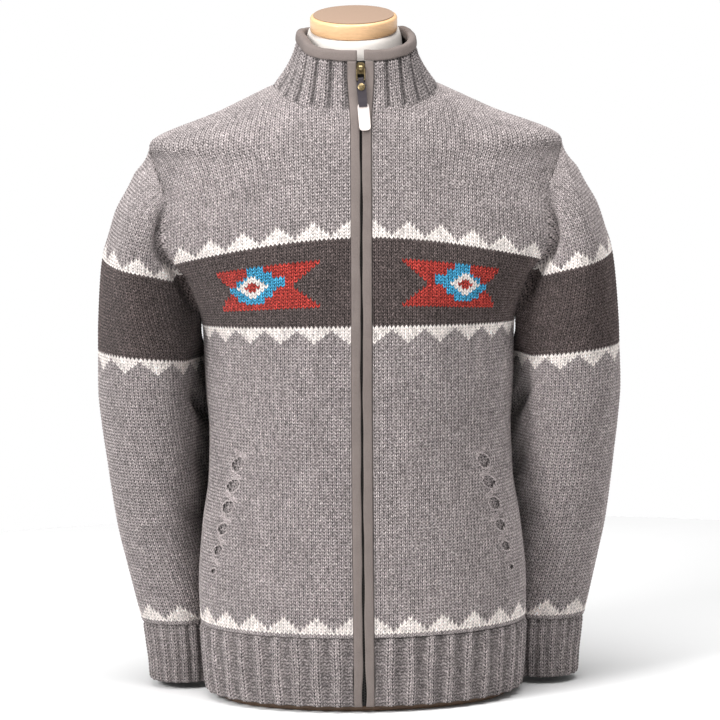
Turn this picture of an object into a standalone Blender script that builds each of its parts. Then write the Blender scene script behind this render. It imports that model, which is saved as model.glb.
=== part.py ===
"""Chunky zipped cardigan with a stand collar, worn by a limbless tabletop torso form.

Units are metres and +Z is up. The front faces -Y and the origin is the middle of the form's flat base.
Left and right are the wearer's, so the left side of the garment is at +X. The left half is worked out
first, and the right half mirrors it.

Every panel lies on one skin. A level section of the trunk is an arc from the middle front (or back) to
an edge: the side seam, then the armhole, then the shoulder seam. A level section of a sleeve runs from
the armhole's front edge round the outside to its back edge, and closes to a ring below the underarm.
"""

import math

import bmesh
import bpy
import numpy as np

# Cloth
KNIT_WALL = 0.0042
SEAM_GAP = 0.0003
NECKLINE_GAP = 0.0010
ROUNDNESS = 0.5523

# Heights
HEM_TOP = 0.0865
CUFF_TOP = 0.0765
CUFF_LOW = 0.0080
UNDERARM = 0.4250
SHOULDER_TIP = 0.6380
NECK_SIDE = 0.7050
NECK_FRONT = 0.6770
NECK_BACK = 0.6970
ARMHOLE_HEIGHTS = (0.442, 0.463, 0.490, 0.515, 0.535, 0.565, 0.592, 0.615, 0.629, 0.6365)

# Shoulder seam, neck and zip
NECK_SIDE_X = 0.0930
ZIP_EDGE_X = 0.0117
ZIP_EDGE_TOP_X = 0.0150
ZIP_EDGE_SPREADS = (0.660, 0.720)
ZIP_LOW_ROWS = (0.024, 0.050)
ZIP_EVEN_ROWS = (0.09, 0.64, 8)
ZIP_HIGH_ROWS = (0.668, 0.684, 0.700, 0.717)
UNDERARM_CLEARANCE = 0.0030
UNDERARM_CLEARS_OVER = 0.040
TIP_CLEARANCE = 0.0008
TIP_CLEARS_FROM = 0.610
TIP_CLEARS_OVER = 0.025
TIP_TURNS_FROM = 0.600
TIP_TURNS_OVER = 0.030
TIP_LEAN = (0.62, 0.0, 0.78)
SLEEVE_MIDDLE_X = 0.2360
SLEEVE_CUTS = (0.2330, 0.3990)
NORMAL_STEP = 0.0005
SHORTEST_ROW = 0.0030

# The zip doesn't run up the very middle: it drifts to the wearer's left as it rises
DRIFT_COLUMNS = ("height", "drift")
DRIFT = ((0.000, 0.0000), (0.300, 0.0020), (0.500, 0.0045), (0.700, 0.0068), (0.790, 0.0075))
DRIFT_REACH = 0.170
DRIFT_DEPTH = 0.050

# Level sections of the trunk. front and back are the depths at the middle, edge_x and the edge depths
# place the seam that ends each arc, and the turns are the arcs' directions there, in degrees.
TRUNK_COLUMNS = ("height", "front", "back", "edge_x", "front_edge", "back_edge", "front_turn", "back_turn")
TRUNK = (
    (0.000, 0.1225, 0.1120, 0.1790, 0.000, 0.000, 90, 90),
    (0.040, 0.1275, 0.1190, 0.1840, 0.000, 0.000, 90, 90),
    (0.082, 0.1300, 0.1230, 0.1870, 0.000, 0.000, 90, 90),
    (0.130, 0.1325, 0.1250, 0.1885, 0.000, 0.000, 90, 90),
    (0.200, 0.1330, 0.1230, 0.1830, 0.000, 0.000, 90, 90),
    (0.260, 0.1330, 0.1210, 0.1745, 0.000, 0.000, 90, 90),
    (0.310, 0.1340, 0.1210, 0.1730, 0.000, 0.000, 90, 90),
    (0.370, 0.1370, 0.1240, 0.1765, 0.000, 0.000, 90, 90),
    (0.425, 0.1390, 0.1280, 0.1780, 0.000, 0.000, 90, 90),
    (0.445, 0.1395, 0.1300, 0.1795, -0.028, 0.026, 88, 88),
    (0.468, 0.1395, 0.1320, 0.1850, -0.050, 0.050, 82, 82),
    (0.495, 0.1390, 0.1340, 0.1945, -0.068, 0.072, 72, 74),
    (0.512, 0.1380, 0.1350, 0.2080, -0.080, 0.085, 58, 60),
    (0.530, 0.1365, 0.1360, 0.2150, -0.087, 0.091, 45, 48),
    (0.552, 0.1345, 0.1355, 0.2140, -0.086, 0.090, 40, 42),
    (0.575, 0.1310, 0.1335, 0.2130, -0.079, 0.082, 40, 42),
    (0.600, 0.1265, 0.1290, 0.2205, -0.062, 0.064, 48, 50),
    (0.620, 0.1220, 0.1240, 0.2290, -0.038, 0.040, 62, 62),
    (0.638, 0.1175, 0.1175, 0.2355, 0.000, 0.000, 90, 90),
    (0.677, 0.1060, 0.0970, 0.1523, 0.000, 0.000, 90, 90),
    (0.697, 0.0970, 0.0790, 0.1100, 0.000, 0.000, 90, 90),
    (0.705, 0.0920, 0.0720, 0.0930, 0.000, 0.000, 90, 90),
)

# Level sections of a sleeve. The inner point faces the trunk, crest_x is where the sleeve is foremost and
# hindmost, front and back are those depths, and start_turn is the direction in which the cloth leaves the
# armhole seam, or below it the inner point.
SLEEVE_COLUMNS = ("height", "outer_x", "outer_y", "inner_x", "inner_y", "crest_x", "front", "back",
                  "start_turn")
SLEEVE = (
    (0.076, 0.2590, 0.068, 0.1755, 0.068, 0.2150, 0.0250, 0.1120, -90),
    (0.109, 0.2665, 0.065, 0.1760, 0.062, 0.2190, 0.0190, 0.1100, -86),
    (0.151, 0.2755, 0.058, 0.1750, 0.052, 0.2250, 0.0080, 0.1050, -72),
    (0.192, 0.2835, 0.047, 0.1765, 0.044, 0.2300, -0.0080, 0.0980, -62),
    (0.233, 0.2885, 0.033, 0.1735, 0.040, 0.2330, -0.0260, 0.0900, -62),
    (0.275, 0.2925, 0.018, 0.1695, 0.040, 0.2360, -0.0440, 0.0800, -62),
    (0.316, 0.2970, 0.010, 0.1700, 0.038, 0.2380, -0.0560, 0.0770, -63),
    (0.358, 0.3000, 0.004, 0.1740, 0.034, 0.2400, -0.0650, 0.0750, -66),
    (0.399, 0.2990, 0.000, 0.1790, 0.024, 0.2410, -0.0730, 0.0760, -74),
    (0.425, 0.2985, 0.000, 0.1810, 0.000, 0.2430, -0.0790, 0.0790, -90),
    (0.445, 0.2975, 0.000, 0.1810, 0.000, 0.2460, -0.0850, 0.0820, -60),
    (0.468, 0.2960, 0.000, 0.1850, 0.000, 0.2480, -0.0900, 0.0860, -25),
    (0.496, 0.2935, 0.000, 0.1945, 0.000, 0.2490, -0.0950, 0.0920, -12),
    (0.520, 0.2895, 0.000, 0.2120, 0.000, 0.2480, -0.0965, 0.0960, -20),
    (0.537, 0.2840, 0.000, 0.2150, 0.000, 0.2460, -0.0960, 0.0960, -35),
    (0.565, 0.2750, 0.000, 0.2130, 0.000, 0.2410, -0.0880, 0.0890, -35),
    (0.592, 0.2600, 0.000, 0.2175, 0.000, 0.2350, -0.0710, 0.0720, -30),
    (0.606, 0.2530, 0.000, 0.2230, 0.000, 0.2330, -0.0560, 0.0570, -25),
    (0.620, 0.2465, 0.000, 0.2290, 0.000, 0.2340, -0.0385, 0.0405, -10),
    (0.633, 0.2405, 0.000, 0.2362, 0.000, 0.2368, -0.0130, 0.0130, 0),
    (0.638, 0.2386, 0.000, 0.2378, 0.000, 0.2382, 0.0000, 0.0000, 0),
)

# Level sections of a cuff
CUFF_COLUMNS = ("height", "outer_x", "inner_x", "front", "back")
CUFF = (
    (0.008, 0.2505, 0.1720, 0.0285, 0.1075),
    (0.030, 0.2515, 0.1720, 0.0270, 0.1090),
    (0.055, 0.2545, 0.1720, 0.0255, 0.1100),
    (0.0765, 0.2570, 0.1730, 0.0255, 0.1110),
)

# Level sections of the form, which stays inside the cloth
FORM_COLUMNS = ("height", "side", "front", "back")
FORM = (
    (0.0058, 0.1480, 0.1010, 0.0940),
    (0.0300, 0.1550, 0.1060, 0.0990),
    (0.1000, 0.1640, 0.1120, 0.1050),
    (0.1800, 0.1600, 0.1110, 0.1020),
    (0.2700, 0.1480, 0.1080, 0.0980),
    (0.3600, 0.1520, 0.1150, 0.1020),
    (0.4400, 0.1590, 0.1200, 0.1100),
    (0.5200, 0.1720, 0.1190, 0.1160),
    (0.5700, 0.1820, 0.1150, 0.1150),
    (0.6000, 0.1850, 0.1090, 0.1100),
    (0.6200, 0.1840, 0.1040, 0.1050),
    (0.6450, 0.1760, 0.0980, 0.0960),
    (0.6650, 0.1550, 0.0930, 0.0860),
    (0.6800, 0.1250, 0.0880, 0.0760),
    (0.6950, 0.0900, 0.0830, 0.0640),
    (0.7100, 0.0695, 0.0770, 0.0560),
    (0.7250, 0.0605, 0.0735, 0.0490),
    (0.7450, 0.0555, 0.0715, 0.0430),
    (0.7570, 0.0540, 0.0700, 0.0400),
    (0.7650, 0.0510, 0.0670, 0.0375),
)
FORM_SIDES = 24
FORM_EVEN_TO = 0.600
FORM_EVEN_ROWS = 11
NECK_LEANS_FROM = 0.7250
NECK_TOP = 0.7650
BASE_THICKNESS = 0.0055
BASE_HALF_WIDTH = 0.1650
BASE_FRONT = 0.1100
BASE_BACK = 0.1050
NECK_Y = -0.0150
NECK_TILT = math.radians(11.5)
BLOCK_RADIUS = 0.0495
BLOCK_HEIGHT = 0.0185
CAP_RADIUS = 0.0458
CAP_HEIGHT = 0.0013
ROUND_SIDES = 32

# Collar
COLLAR_TOP_X = 0.0637
COLLAR_TOP_FRONT = -0.0870
COLLAR_TOP_BACK = 0.0570
COLLAR_TOP_MIDDLE = 0.7627
COLLAR_TOP_RISE = 0.0196
COLLAR_BACK_RISE = 0.0030
COLLAR_FRONT_SQUARE = 3.2
COLLAR_BACK_ROUND = 2.0
COLLAR_FLARE = 1.8
COLLAR_WALL = 0.0050
COLLAR_SLANT = 0.0665
COLLAR_START = math.radians(16)
THROAT_FRONT = -0.1060
COLLAR_HEIGHTS = (0.0, 0.33, 0.79, 0.825, 1.0)
COLLAR_RIBBED = 0.81
COLLAR_SINK = 0.35
COLLAR_LIFT = 0.0008
UNDER_BINDING = (0.0012, 0.0034)
COLLAR_RIBS = 25
BINDING_DEPTH = 0.0085
BINDING_STATIONS = 35
BINDING_EDGE_X = 0.0040

# Ribs, raised on the outside of a plain inside
RIB_RAISE = 0.0022
HEM_BACKING = 0.0006
RIB_CREST_STARTS = 0.28
RIB_CREST_ENDS = 0.72
FRONT_HEM_RIBS = 10
BACK_HEM_RIBS = 21
CUFF_RIBS = 20
HEM_FOLLOWS_FROM = 0.0200
HEM_SIDE_X = 0.1800
HEM_FRONT_LOW = 0.0072
HEM_SIDE_LOW = 0.0130
HEM_BACK_LOW = 0.0100

# Pocket eyelets down each front: middle, width and height of each, all seen from the front
EYELET_TOP = (0.1390, 0.2800)
EYELET_BOTTOM = (0.1700, 0.1540)
EYELET_SIZES = ((0.0140, 0.0170), (0.0150, 0.0150), (0.0140, 0.0150), (0.0120, 0.0140), (0.0110, 0.0120),
                (0.0070, 0.0075))
EYELET_CUT_FRONT = -0.150
EYELET_CUT_BACK = -0.012
LINING_MARGIN = 0.0140
LINING_OUTER_SHARE = 0.7
LINING_SEAM_MARGIN = 0.0040
LINING_WALL = 0.0015
LINING_GAP = 0.0022

# Zip, slider and pull. The gap columns are half the gap between the two bands.
GAP_COLUMNS = ("height", "gap")
GAP = ((0.000, 0.0014), (0.024, 0.0024), (0.060, 0.0012), (0.684, 0.0012), (0.700, 0.0022), (0.717, 0.0050),
       (0.732, 0.0052), (0.745, 0.0040))
TAPE_MARGIN = 0.0020
TAPE_THICKNESS = 0.0022
ZIP_BAND_THICKNESS = 0.0062
ZIP_BAND_STAND = 0.0012
ZIP_BOTTOM = 0.0075
SLIDER_HEIGHT = 0.7260
SLIDER_WIDTH = 0.0092
SLIDER_LENGTH = 0.0130
SLIDER_PLATE = 0.0028
SLIDER_SINK = 0.0004
BRIDGE_HOLE = 0.0019
BRIDGE_WIDTH = 0.0036
BRIDGE_FRONT_WALL = 0.0012
BRIDGE_END_WALL = 0.0018
PIVOT_STAND = 0.0048
PULL_LEAN = math.radians(19.5)
PULL_TILT = math.radians(4)
WIRE_RADIUS = 0.00085
LINK_WIDTH = 0.0088
LINK_LENGTH = 0.0135
LINK_CORNER = 0.0014
STRAP_WIDTH = 0.0110
STRAP_END_WIDTH = 0.0094
FOLD_WIDTH = 0.0060
FOLD_PLAY = 0.0006
STRAP_LENGTH = 0.0317
STRAP_SKIN = 0.0013
STRAP_HALF_SLIT = 0.0003
STRAP_WAIST = 0.0042
STRAP_SHOULDER = 0.0072
STRAP_OPENS = (0.0010, 0.0060)
TAB_WIDTH = 0.0128
TAB_LENGTH = 0.0316
TAB_THICKNESS = 0.0016
TAB_OVERLAP = 0.0045
TAB_CORNER = 0.0040
RIVET_RADIUS = 0.0042
RIVET_HEIGHT = 0.0013
RIVET_DOWN = 0.0088

ARC_SAMPLES = 60


# ---------------------------------------------------------------- tables and arcs

def through(columns, rows, name, heights):
    """A column's values at some heights, on a smooth curve through its rows that never overshoots them."""
    table = np.array(rows, float)
    x = table[:, 0]
    y = table[:, columns.index(name)]
    step = np.diff(x)
    slope = np.diff(y) / step
    tangent = np.empty_like(y)
    tangent[0] = slope[0]
    tangent[-1] = slope[-1]
    product = slope[:-1] * slope[1:]
    total = slope[:-1] + slope[1:]
    tangent[1:-1] = np.where(product > 0, 2 * product / np.where(total == 0, 1, total), 0)
    at = np.clip(np.atleast_1d(np.asarray(heights, float)), x[0], x[-1])
    i = np.clip(np.searchsorted(x, at, side="right") - 1, 0, len(x) - 2)
    t = (at - x[i]) / step[i]
    return (
        y[i] * (1 + 2 * t) * (1 - t) ** 2
        + tangent[i] * step[i] * t * (1 - t) ** 2
        + y[i + 1] * t * t * (3 - 2 * t)
        + tangent[i + 1] * step[i] * t * t * (t - 1)
    )


def drifted(point):
    """A point of the garment moved with the zip's drift, which fades towards the sides and the back."""
    x, y, z = point
    amount = float(through(DRIFT_COLUMNS, DRIFT, "drift", z)[0])
    across = max(0.0, 1 - (x / DRIFT_REACH) ** 2) ** 2
    ahead = min(1.0, max(0.0, -y / DRIFT_DEPTH))
    return (x + amount * across * ahead * ahead * (3 - 2 * ahead), y, z)


def bezier(p0, p1, p2, p3):
    """Sampled cubic arcs, one for each row of the four points: rows x samples x 2."""
    t = np.linspace(0, 1, ARC_SAMPLES)[None, :, None]
    p0, p1, p2, p3 = (np.asarray(p, float)[:, None, :] for p in (p0, p1, p2, p3))
    return (1 - t) ** 3 * p0 + 3 * (1 - t) ** 2 * t * p1 + 3 * (1 - t) * t * t * p2 + t ** 3 * p3


def spread(arc, starts, ends, fractions):
    """Points on one sampled arc at fractions of the length between two distances along it."""
    steps = np.linalg.norm(np.diff(arc, axis=0), axis=1)
    along = np.concatenate([[0], np.cumsum(steps)])
    ends = along[-1] if ends is None else ends
    wanted = starts + (ends - starts) * np.asarray(fractions)
    return np.stack([np.interp(wanted, along, arc[:, k]) for k in range(arc.shape[1])], axis=1)


def distance_where_x(arc, x):
    """How far along a sampled arc, which runs outwards, it reaches a given x."""
    steps = np.linalg.norm(np.diff(arc, axis=0), axis=1)
    along = np.concatenate([[0], np.cumsum(steps)])
    return float(np.interp(x, arc[:, 0], along))


# ---------------------------------------------------------------- the skin

def trunk_arcs(heights, face):
    """Level arcs of the front (face -1) or back (face 1), from the middle to the seam at the edge."""
    depth = through(TRUNK_COLUMNS, TRUNK, "front" if face < 0 else "back", heights)
    edge_x = through(TRUNK_COLUMNS, TRUNK, "edge_x", heights)
    edge_y = face * through(TRUNK_COLUMNS, TRUNK, "front_edge" if face < 0 else "back_edge", heights)
    turn = np.radians(through(TRUNK_COLUMNS, TRUNK, "front_turn" if face < 0 else "back_turn", heights))
    start = np.stack([np.zeros_like(depth), depth], axis=1)
    end = np.stack([edge_x, edge_y], axis=1)
    inset = (depth - edge_y) / np.tan(np.minimum(turn, math.pi / 2 - 1e-6))
    corner = np.stack([edge_x - inset, depth], axis=1)
    arcs = bezier(start, start + ROUNDNESS * (corner - start), end + ROUNDNESS * (corner - end), end)
    arcs[:, :, 1] *= face
    return arcs


def sleeve_arcs(heights):
    """Level arcs of the left sleeve: front half from the armhole to the outside, and back half likewise."""
    column = {name: through(SLEEVE_COLUMNS, SLEEVE, name, heights) for name in SLEEVE_COLUMNS}
    heights = np.asarray(heights, float)
    trunk_x = through(TRUNK_COLUMNS, TRUNK, "edge_x", heights)
    joined = heights > UNDERARM
    low = np.clip((UNDERARM + UNDERARM_CLEARS_OVER - heights) / UNDERARM_CLEARS_OVER, 0, 1)
    high = np.clip((heights - TIP_CLEARS_FROM) / TIP_CLEARS_OVER, 0, 1)
    clearance = SEAM_GAP + UNDERARM_CLEARANCE * low + TIP_CLEARANCE * high
    seam_x = np.where(joined, trunk_x + clearance, column["inner_x"])
    outer = np.stack([column["outer_x"], column["outer_y"]], axis=1)
    turn = np.radians(column["start_turn"])
    halves = []
    for face, edge in ((-1, "front_edge"), (1, "back_edge")):
        seam_y = np.where(joined, through(TRUNK_COLUMNS, TRUNK, edge, heights), column["inner_y"])
        seam = np.stack([seam_x, seam_y], axis=1)
        crest = np.stack([column["crest_x"], column["front" if face < 0 else "back"]], axis=1)
        leave = np.stack([np.where(joined | (face < 0), 1, -1) * np.cos(turn), -face * np.sin(turn)], axis=1)
        reach = (ROUNDNESS * np.linalg.norm(crest - seam, axis=1) / math.sqrt(2))[:, None]
        corner = np.stack([column["outer_x"], crest[:, 1]], axis=1)
        near_arc = bezier(seam, seam + reach * leave, crest - reach * np.array([1, 0]), crest)
        far_arc = bezier(crest, crest + ROUNDNESS * (corner - crest), outer + ROUNDNESS * (corner - outer),
                         outer)
        halves.append(np.concatenate([near_arc, far_arc[:, 1:]], axis=1))
    return halves


def neckline_x(height, face):
    """Half width of the neckline at a height, 0 below it."""
    low = NECK_FRONT if face < 0 else NECK_BACK
    down = (NECK_SIDE - height) / (NECK_SIDE - low)
    return NECK_SIDE_X * math.sqrt(max(0.0, 1 - down * down))


def lifted(flat, heights):
    """Level points with their heights added: rows x columns x 3."""
    heights = np.broadcast_to(np.asarray(heights, float).reshape(len(flat), -1), flat.shape[:2])
    return np.concatenate([flat, heights[:, :, None]], axis=2)


def grid_normals(grid, outward_of):
    """Unit normals of a grid of points, turned away from a line of points inside it."""
    across = np.gradient(grid, axis=1)
    upward = np.gradient(grid, axis=0)
    normal = np.cross(across, upward)
    normal /= np.maximum(np.linalg.norm(normal, axis=2, keepdims=True), 1e-12)
    middle = grid[:, grid.shape[1] // 2] - outward_of
    if np.sum(normal[:, grid.shape[1] // 2] * middle) < 0:
        normal = -normal
    return normal


# ---------------------------------------------------------------- solids

def material(name, colour, roughness, metallic=0.0):
    made = bpy.data.materials.new(name)
    made.use_nodes = True
    shader = made.node_tree.nodes["Principled BSDF"]
    shader.inputs["Base Color"].default_value = (*colour, 1)
    shader.inputs["Roughness"].default_value = roughness
    shader.inputs["Metallic"].default_value = metallic
    return made


def object_of(name, mesh_work, finish, smooth=True):
    """A named object from a bmesh, with its faces turned outwards."""
    bmesh.ops.recalc_face_normals(mesh_work, faces=mesh_work.faces)
    if mesh_work.calc_volume(signed=True) < 0:
        bmesh.ops.reverse_faces(mesh_work, faces=mesh_work.faces)
    mesh = bpy.data.meshes.new(name)
    mesh_work.to_mesh(mesh)
    mesh_work.free()
    if smooth:
        mesh.shade_smooth()
        mesh.set_sharp_from_angle(angle=math.radians(50))
    mesh.materials.append(finish)
    made = bpy.data.objects.new(name, mesh)
    bpy.context.scene.collection.objects.link(made)
    return made


def add_wall(work, outer, inner, ring_rows=0, joined_rows=0, mirror=False):
    """Adds a wall between two grids of points to a bmesh.

    In the first ring_rows rows the last column meets the first. In the first joined_rows rows the first
    column has no edge of its own, because the mirrored half joins it there.
    """
    rows, columns = outer.shape[:2]
    sides = []
    for grid in (outer, inner):
        placed = []
        for r in range(rows):
            kept = columns - 1 if r < ring_rows else columns
            line = [work.verts.new(drifted((-p[0] if mirror else p[0], p[1], p[2]))) for p in grid[r, :kept]]
            placed.append(line + line[:1] if r < ring_rows else line)
        sides.append(placed)
    out, back = sides
    for r in range(rows - 1):
        for c in range(columns - 1):
            work.faces.new((out[r][c], out[r][c + 1], out[r + 1][c + 1], out[r + 1][c]))
            work.faces.new((back[r][c], back[r + 1][c], back[r + 1][c + 1], back[r][c + 1]))
        for c in (0, columns - 1):
            if r + 1 >= ring_rows and (c > 0 or r + 1 >= joined_rows):
                work.faces.new((out[r][c], out[r + 1][c], back[r + 1][c], back[r][c]))
    for r in (0, rows - 1):
        for c in range(columns - 1):
            work.faces.new((out[r][c], out[r][c + 1], back[r][c + 1], back[r][c]))


def shell(name, outer, inner, finish, ring_rows=0, mirror=False):
    work = bmesh.new()
    add_wall(work, outer, inner, ring_rows=ring_rows, mirror=mirror)
    return object_of(name, work, finish)


def loft(name, loops, finish, smooth=True):
    """A solid through closed loops of equal length, capped at both ends."""
    work = bmesh.new()
    rings = [[work.verts.new(p) for p in loop] for loop in loops]
    for lower, upper in zip(rings, rings[1:]):
        for k in range(len(lower)):
            after = (k + 1) % len(lower)
            work.faces.new((lower[k], lower[after], upper[after], upper[k]))
    work.faces.new(rings[0][::-1])
    work.faces.new(rings[-1])
    return object_of(name, work, finish, smooth)


def both_sides(make):
    """Runs a maker for the wearer's left and right."""
    return [make("left", False), make("right", True)]


# ---------------------------------------------------------------- fronts, back and sleeves

def zip_edge_x(height):
    """Where the fronts and the collar end beside the zip bands."""
    low, high = ZIP_EDGE_SPREADS
    share = min(1.0, max(0.0, (height - low) / (high - low)))
    return ZIP_EDGE_X + (ZIP_EDGE_TOP_X - ZIP_EDGE_X) * share * share * (3 - 2 * share)


def trunk_heights(face):
    """Rows of a front or back, with some at even turns of the neckline."""
    low = np.linspace(HEM_TOP + SEAM_GAP, UNDERARM, 8)
    neck = NECK_FRONT if face < 0 else NECK_BACK
    turns = np.radians((8, 33, 57, 79) if face < 0 else (0, 25, 54, 79))
    curve = NECK_SIDE - (NECK_SIDE - neck) * np.cos(turns)
    slope = (0.648, 0.662) if face < 0 else (0.650, 0.665, 0.682)
    return np.concatenate([low, ARMHOLE_HEIGHTS, slope, curve])


def trunk_grid(heights, face, columns, gap=SEAM_GAP / 2):
    """Outer points of the left half of the front or back, from the zip or middle back to the seam.

    Each point's share of its whole arc comes back too.
    """
    arcs = trunk_arcs(heights, face)
    fractions = np.linspace(0, 1, columns)
    rows, shares = [], []
    for height, arc in zip(heights, arcs):
        neck = neckline_x(height, face)
        edge = max(neck + NECKLINE_GAP * (neck > 0), zip_edge_x(height) if face < 0 else 0.0)
        length = distance_where_x(arc, 1.0)
        start = min(distance_where_x(arc, edge), length - SHORTEST_ROW)
        rows.append(spread(arc, start, length - gap, fractions))
        shares.append((start + (length - gap - start) * fractions) / length)
    return lifted(np.array(rows), heights), np.array(shares)


def trunk_normals(heights, face, shares):
    """Unit outward normals of the trunk's skin at shares of the arcs at some heights."""
    above = trunk_arcs(heights + NORMAL_STEP, face)
    below = trunk_arcs(heights - NORMAL_STEP, face)
    arcs = trunk_arcs(heights, face)
    normals = []
    for k in range(len(heights)):
        length = distance_where_x(arcs[k], 1.0)
        upward = np.zeros((shares.shape[1], 3))
        upward[:, :2] = (spread(above[k], 0, distance_where_x(above[k], 1.0), shares[k])
                         - spread(below[k], 0, distance_where_x(below[k], 1.0), shares[k]))
        upward[:, 2] = 2 * NORMAL_STEP
        along = np.zeros((shares.shape[1], 3))
        along[:, :2] = (spread(arcs[k], 0, length, np.minimum(shares[k] + 0.01, 1))
                        - spread(arcs[k], 0, length, np.maximum(shares[k] - 0.01, 0)))
        normals.append(-face * np.cross(along, upward))
    normals = np.array(normals)
    return normals / np.linalg.norm(normals, axis=2, keepdims=True)


def level_row(normals, row):
    """Normals with one row made level, so that the wall's lower edge is flat."""
    normals[row, :, 2] = 0
    normals[row] /= np.linalg.norm(normals[row], axis=1, keepdims=True)
    return normals


def seam_normals(grid, normals):
    """Normals whose last column has no part across a seam that runs over the shoulder or down the side."""
    level = (grid[:, -1, 2] > SHOULDER_TIP - 0.002) | (grid[:, -1, 2] < UNDERARM + 0.002)
    edge = normals[:, -1].copy()
    edge[level, 1] = 0
    tip = np.clip((grid[:, -1, 2] - TIP_TURNS_FROM) / TIP_TURNS_OVER, 0, 1)[:, None]
    near_tip = (grid[:, -1, 2] > TIP_TURNS_FROM) & (grid[:, -1, 2] < SHOULDER_TIP)
    edge[near_tip] = (edge * (1 - tip) + np.array(TIP_LEAN) * tip)[near_tip]
    edge /= np.linalg.norm(edge, axis=1, keepdims=True)
    normals[:, -1] = edge
    return normals


def trunk_walls(heights, face, columns, wall=KNIT_WALL):
    grid, shares = trunk_grid(heights, face, columns)
    normals = level_row(seam_normals(grid, trunk_normals(heights, face, shares)), 0)
    if face > 0:
        whole_rows = grid[:, 0, 0] == 0
        normals[whole_rows, 0, 0] = 0
        normals[whole_rows, 0] /= np.linalg.norm(normals[whole_rows, 0], axis=1, keepdims=True)
    return grid, grid - wall * normals


def eyelet_cutter(side, mirror):
    """Six-sided rods through a front, one for each eyelet, from the top one down."""
    work = bmesh.new()
    middle_x = np.linspace(EYELET_TOP[0], EYELET_BOTTOM[0], len(EYELET_SIZES))
    middle_z = np.linspace(EYELET_TOP[1], EYELET_BOTTOM[1], len(EYELET_SIZES))
    for x, z, (width, height) in zip(middle_x, middle_z, EYELET_SIZES):
        corners = ((-0.5, 0.12), (-0.18, 0.5), (0.30, 0.34), (0.5, -0.12), (0.18, -0.5), (-0.30, -0.34))
        loop = [((-1 if mirror else 1) * (x - width * a), z + height * b) for a, b in corners]
        near = [work.verts.new((a, EYELET_CUT_FRONT, b)) for a, b in loop]
        far = [work.verts.new((a, EYELET_CUT_BACK, b)) for a, b in loop]
        for k in range(len(loop)):
            after = (k + 1) % len(loop)
            work.faces.new((near[k], near[after], far[after], far[k]))
        work.faces.new(near[::-1])
        work.faces.new(far)
    cutter = object_of("eyelet_cutter_" + side, work, FINISH["knit"], smooth=False)
    cutter.hide_render = True
    cutter.display_type = "WIRE"
    return cutter


def front(side, mirror):
    outer, inner = trunk_walls(trunk_heights(-1), -1, 9)
    made = shell("front_" + side, outer, inner, FINISH["knit"], mirror=mirror)
    cut = made.modifiers.new("eyelets", "BOOLEAN")
    cut.operation = "DIFFERENCE"
    cut.solver = "EXACT"
    cut.object = eyelet_cutter(side, mirror)
    return made


def back():
    """Both halves of the back, welded down the middle as far up as the neckline."""
    outer, inner = trunk_walls(trunk_heights(1), 1, 9)
    whole_rows = int(np.sum(outer[:, 0, 0] == 0))
    work = bmesh.new()
    for mirror in (False, True):
        add_wall(work, outer, inner, joined_rows=whole_rows, mirror=mirror)
    bmesh.ops.remove_doubles(work, verts=work.verts, dist=0.00002)
    return object_of("back", work, FINISH["knit"])


def sleeve_length(name, heights, mirror):
    """One length of a sleeve, whose rows below the underarm are closed rings."""
    closed = int(np.sum(heights <= UNDERARM))
    front_half, back_half = sleeve_arcs(heights)
    fractions = np.linspace(0, 1, 8)
    rows = []
    for height, near, far in zip(heights, front_half, back_half):
        gap = SEAM_GAP / 2 if height > UNDERARM else 0.0
        ahead = spread(near, gap, None, fractions)
        behind = spread(far, gap, None, fractions)
        rows.append(np.concatenate([ahead, behind[-2::-1]]))
    outer = lifted(np.array(rows), heights)
    middle_y = through(SLEEVE_COLUMNS, SLEEVE, "outer_y", heights)
    middle = np.stack([np.full(len(heights), SLEEVE_MIDDLE_X), middle_y, heights], axis=1)
    padded = np.concatenate([outer[:, -2:-1], outer, outer[:, 1:2]], axis=1)
    ring_normals = grid_normals(padded, middle)[:, 1:-1]
    normals = grid_normals(outer, middle)
    normals[:closed] = ring_normals[:closed]
    normals[:closed, -1] = normals[:closed, 0]
    normals = level_row(tip_normals(outer, normals), 0)
    if closed == len(heights):
        normals = level_row(normals, -1)
    return shell(name, outer, outer - KNIT_WALL * normals, FINISH["knit"], closed, mirror)


def sleeve(side, mirror):
    """A sleeve in three lengths, which meet at level cuts."""
    low, high = SLEEVE_CUTS
    half = SEAM_GAP / 2
    wrist = np.linspace(CUFF_TOP + SEAM_GAP, low - half, 5)
    elbow = np.linspace(low + half, high - half, 5)
    shoulder = np.concatenate([[high + half, UNDERARM], ARMHOLE_HEIGHTS])
    lengths = (("wrist", wrist), ("elbow", elbow), ("shoulder", shoulder))
    return [sleeve_length("sleeve_" + side + "_" + name, heights, mirror) for name, heights in lengths]


def tip_normals(grid, normals):
    """Near the shoulder tip the armhole edges share one direction with the trunk's edge."""
    tip = np.clip((grid[:, 0, 2] - TIP_TURNS_FROM) / TIP_TURNS_OVER, 0, 1)[:, None]
    for column in (0, -1):
        edge = normals[:, column] * (1 - tip) + np.array(TIP_LEAN) * tip
        normals[:, column] = edge / np.linalg.norm(edge, axis=1, keepdims=True)
    return normals


# ---------------------------------------------------------------- ribs

def rib_fractions(ribs):
    """Column places of a run of ribs, and whether each is on a crest."""
    places = []
    for k in range(ribs):
        places += [(k, 0.0), (k + RIB_CREST_STARTS, 1.0), (k + RIB_CREST_ENDS, 1.0)]
    places.append((ribs, 0.0))
    table = np.array(places)
    return table[:, 0] / ribs, table[:, 1]


def hem_low(points):
    """Height of the hem's lower edge, which lifts a little towards the sides."""
    sideways = np.clip(np.abs(points[:, 0]) / HEM_SIDE_X, 0, 1) ** 2
    middle = np.where(points[:, 1] < 0, HEM_FRONT_LOW, HEM_BACK_LOW)
    return middle * (1 - sideways) + HEM_SIDE_LOW * sideways


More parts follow.
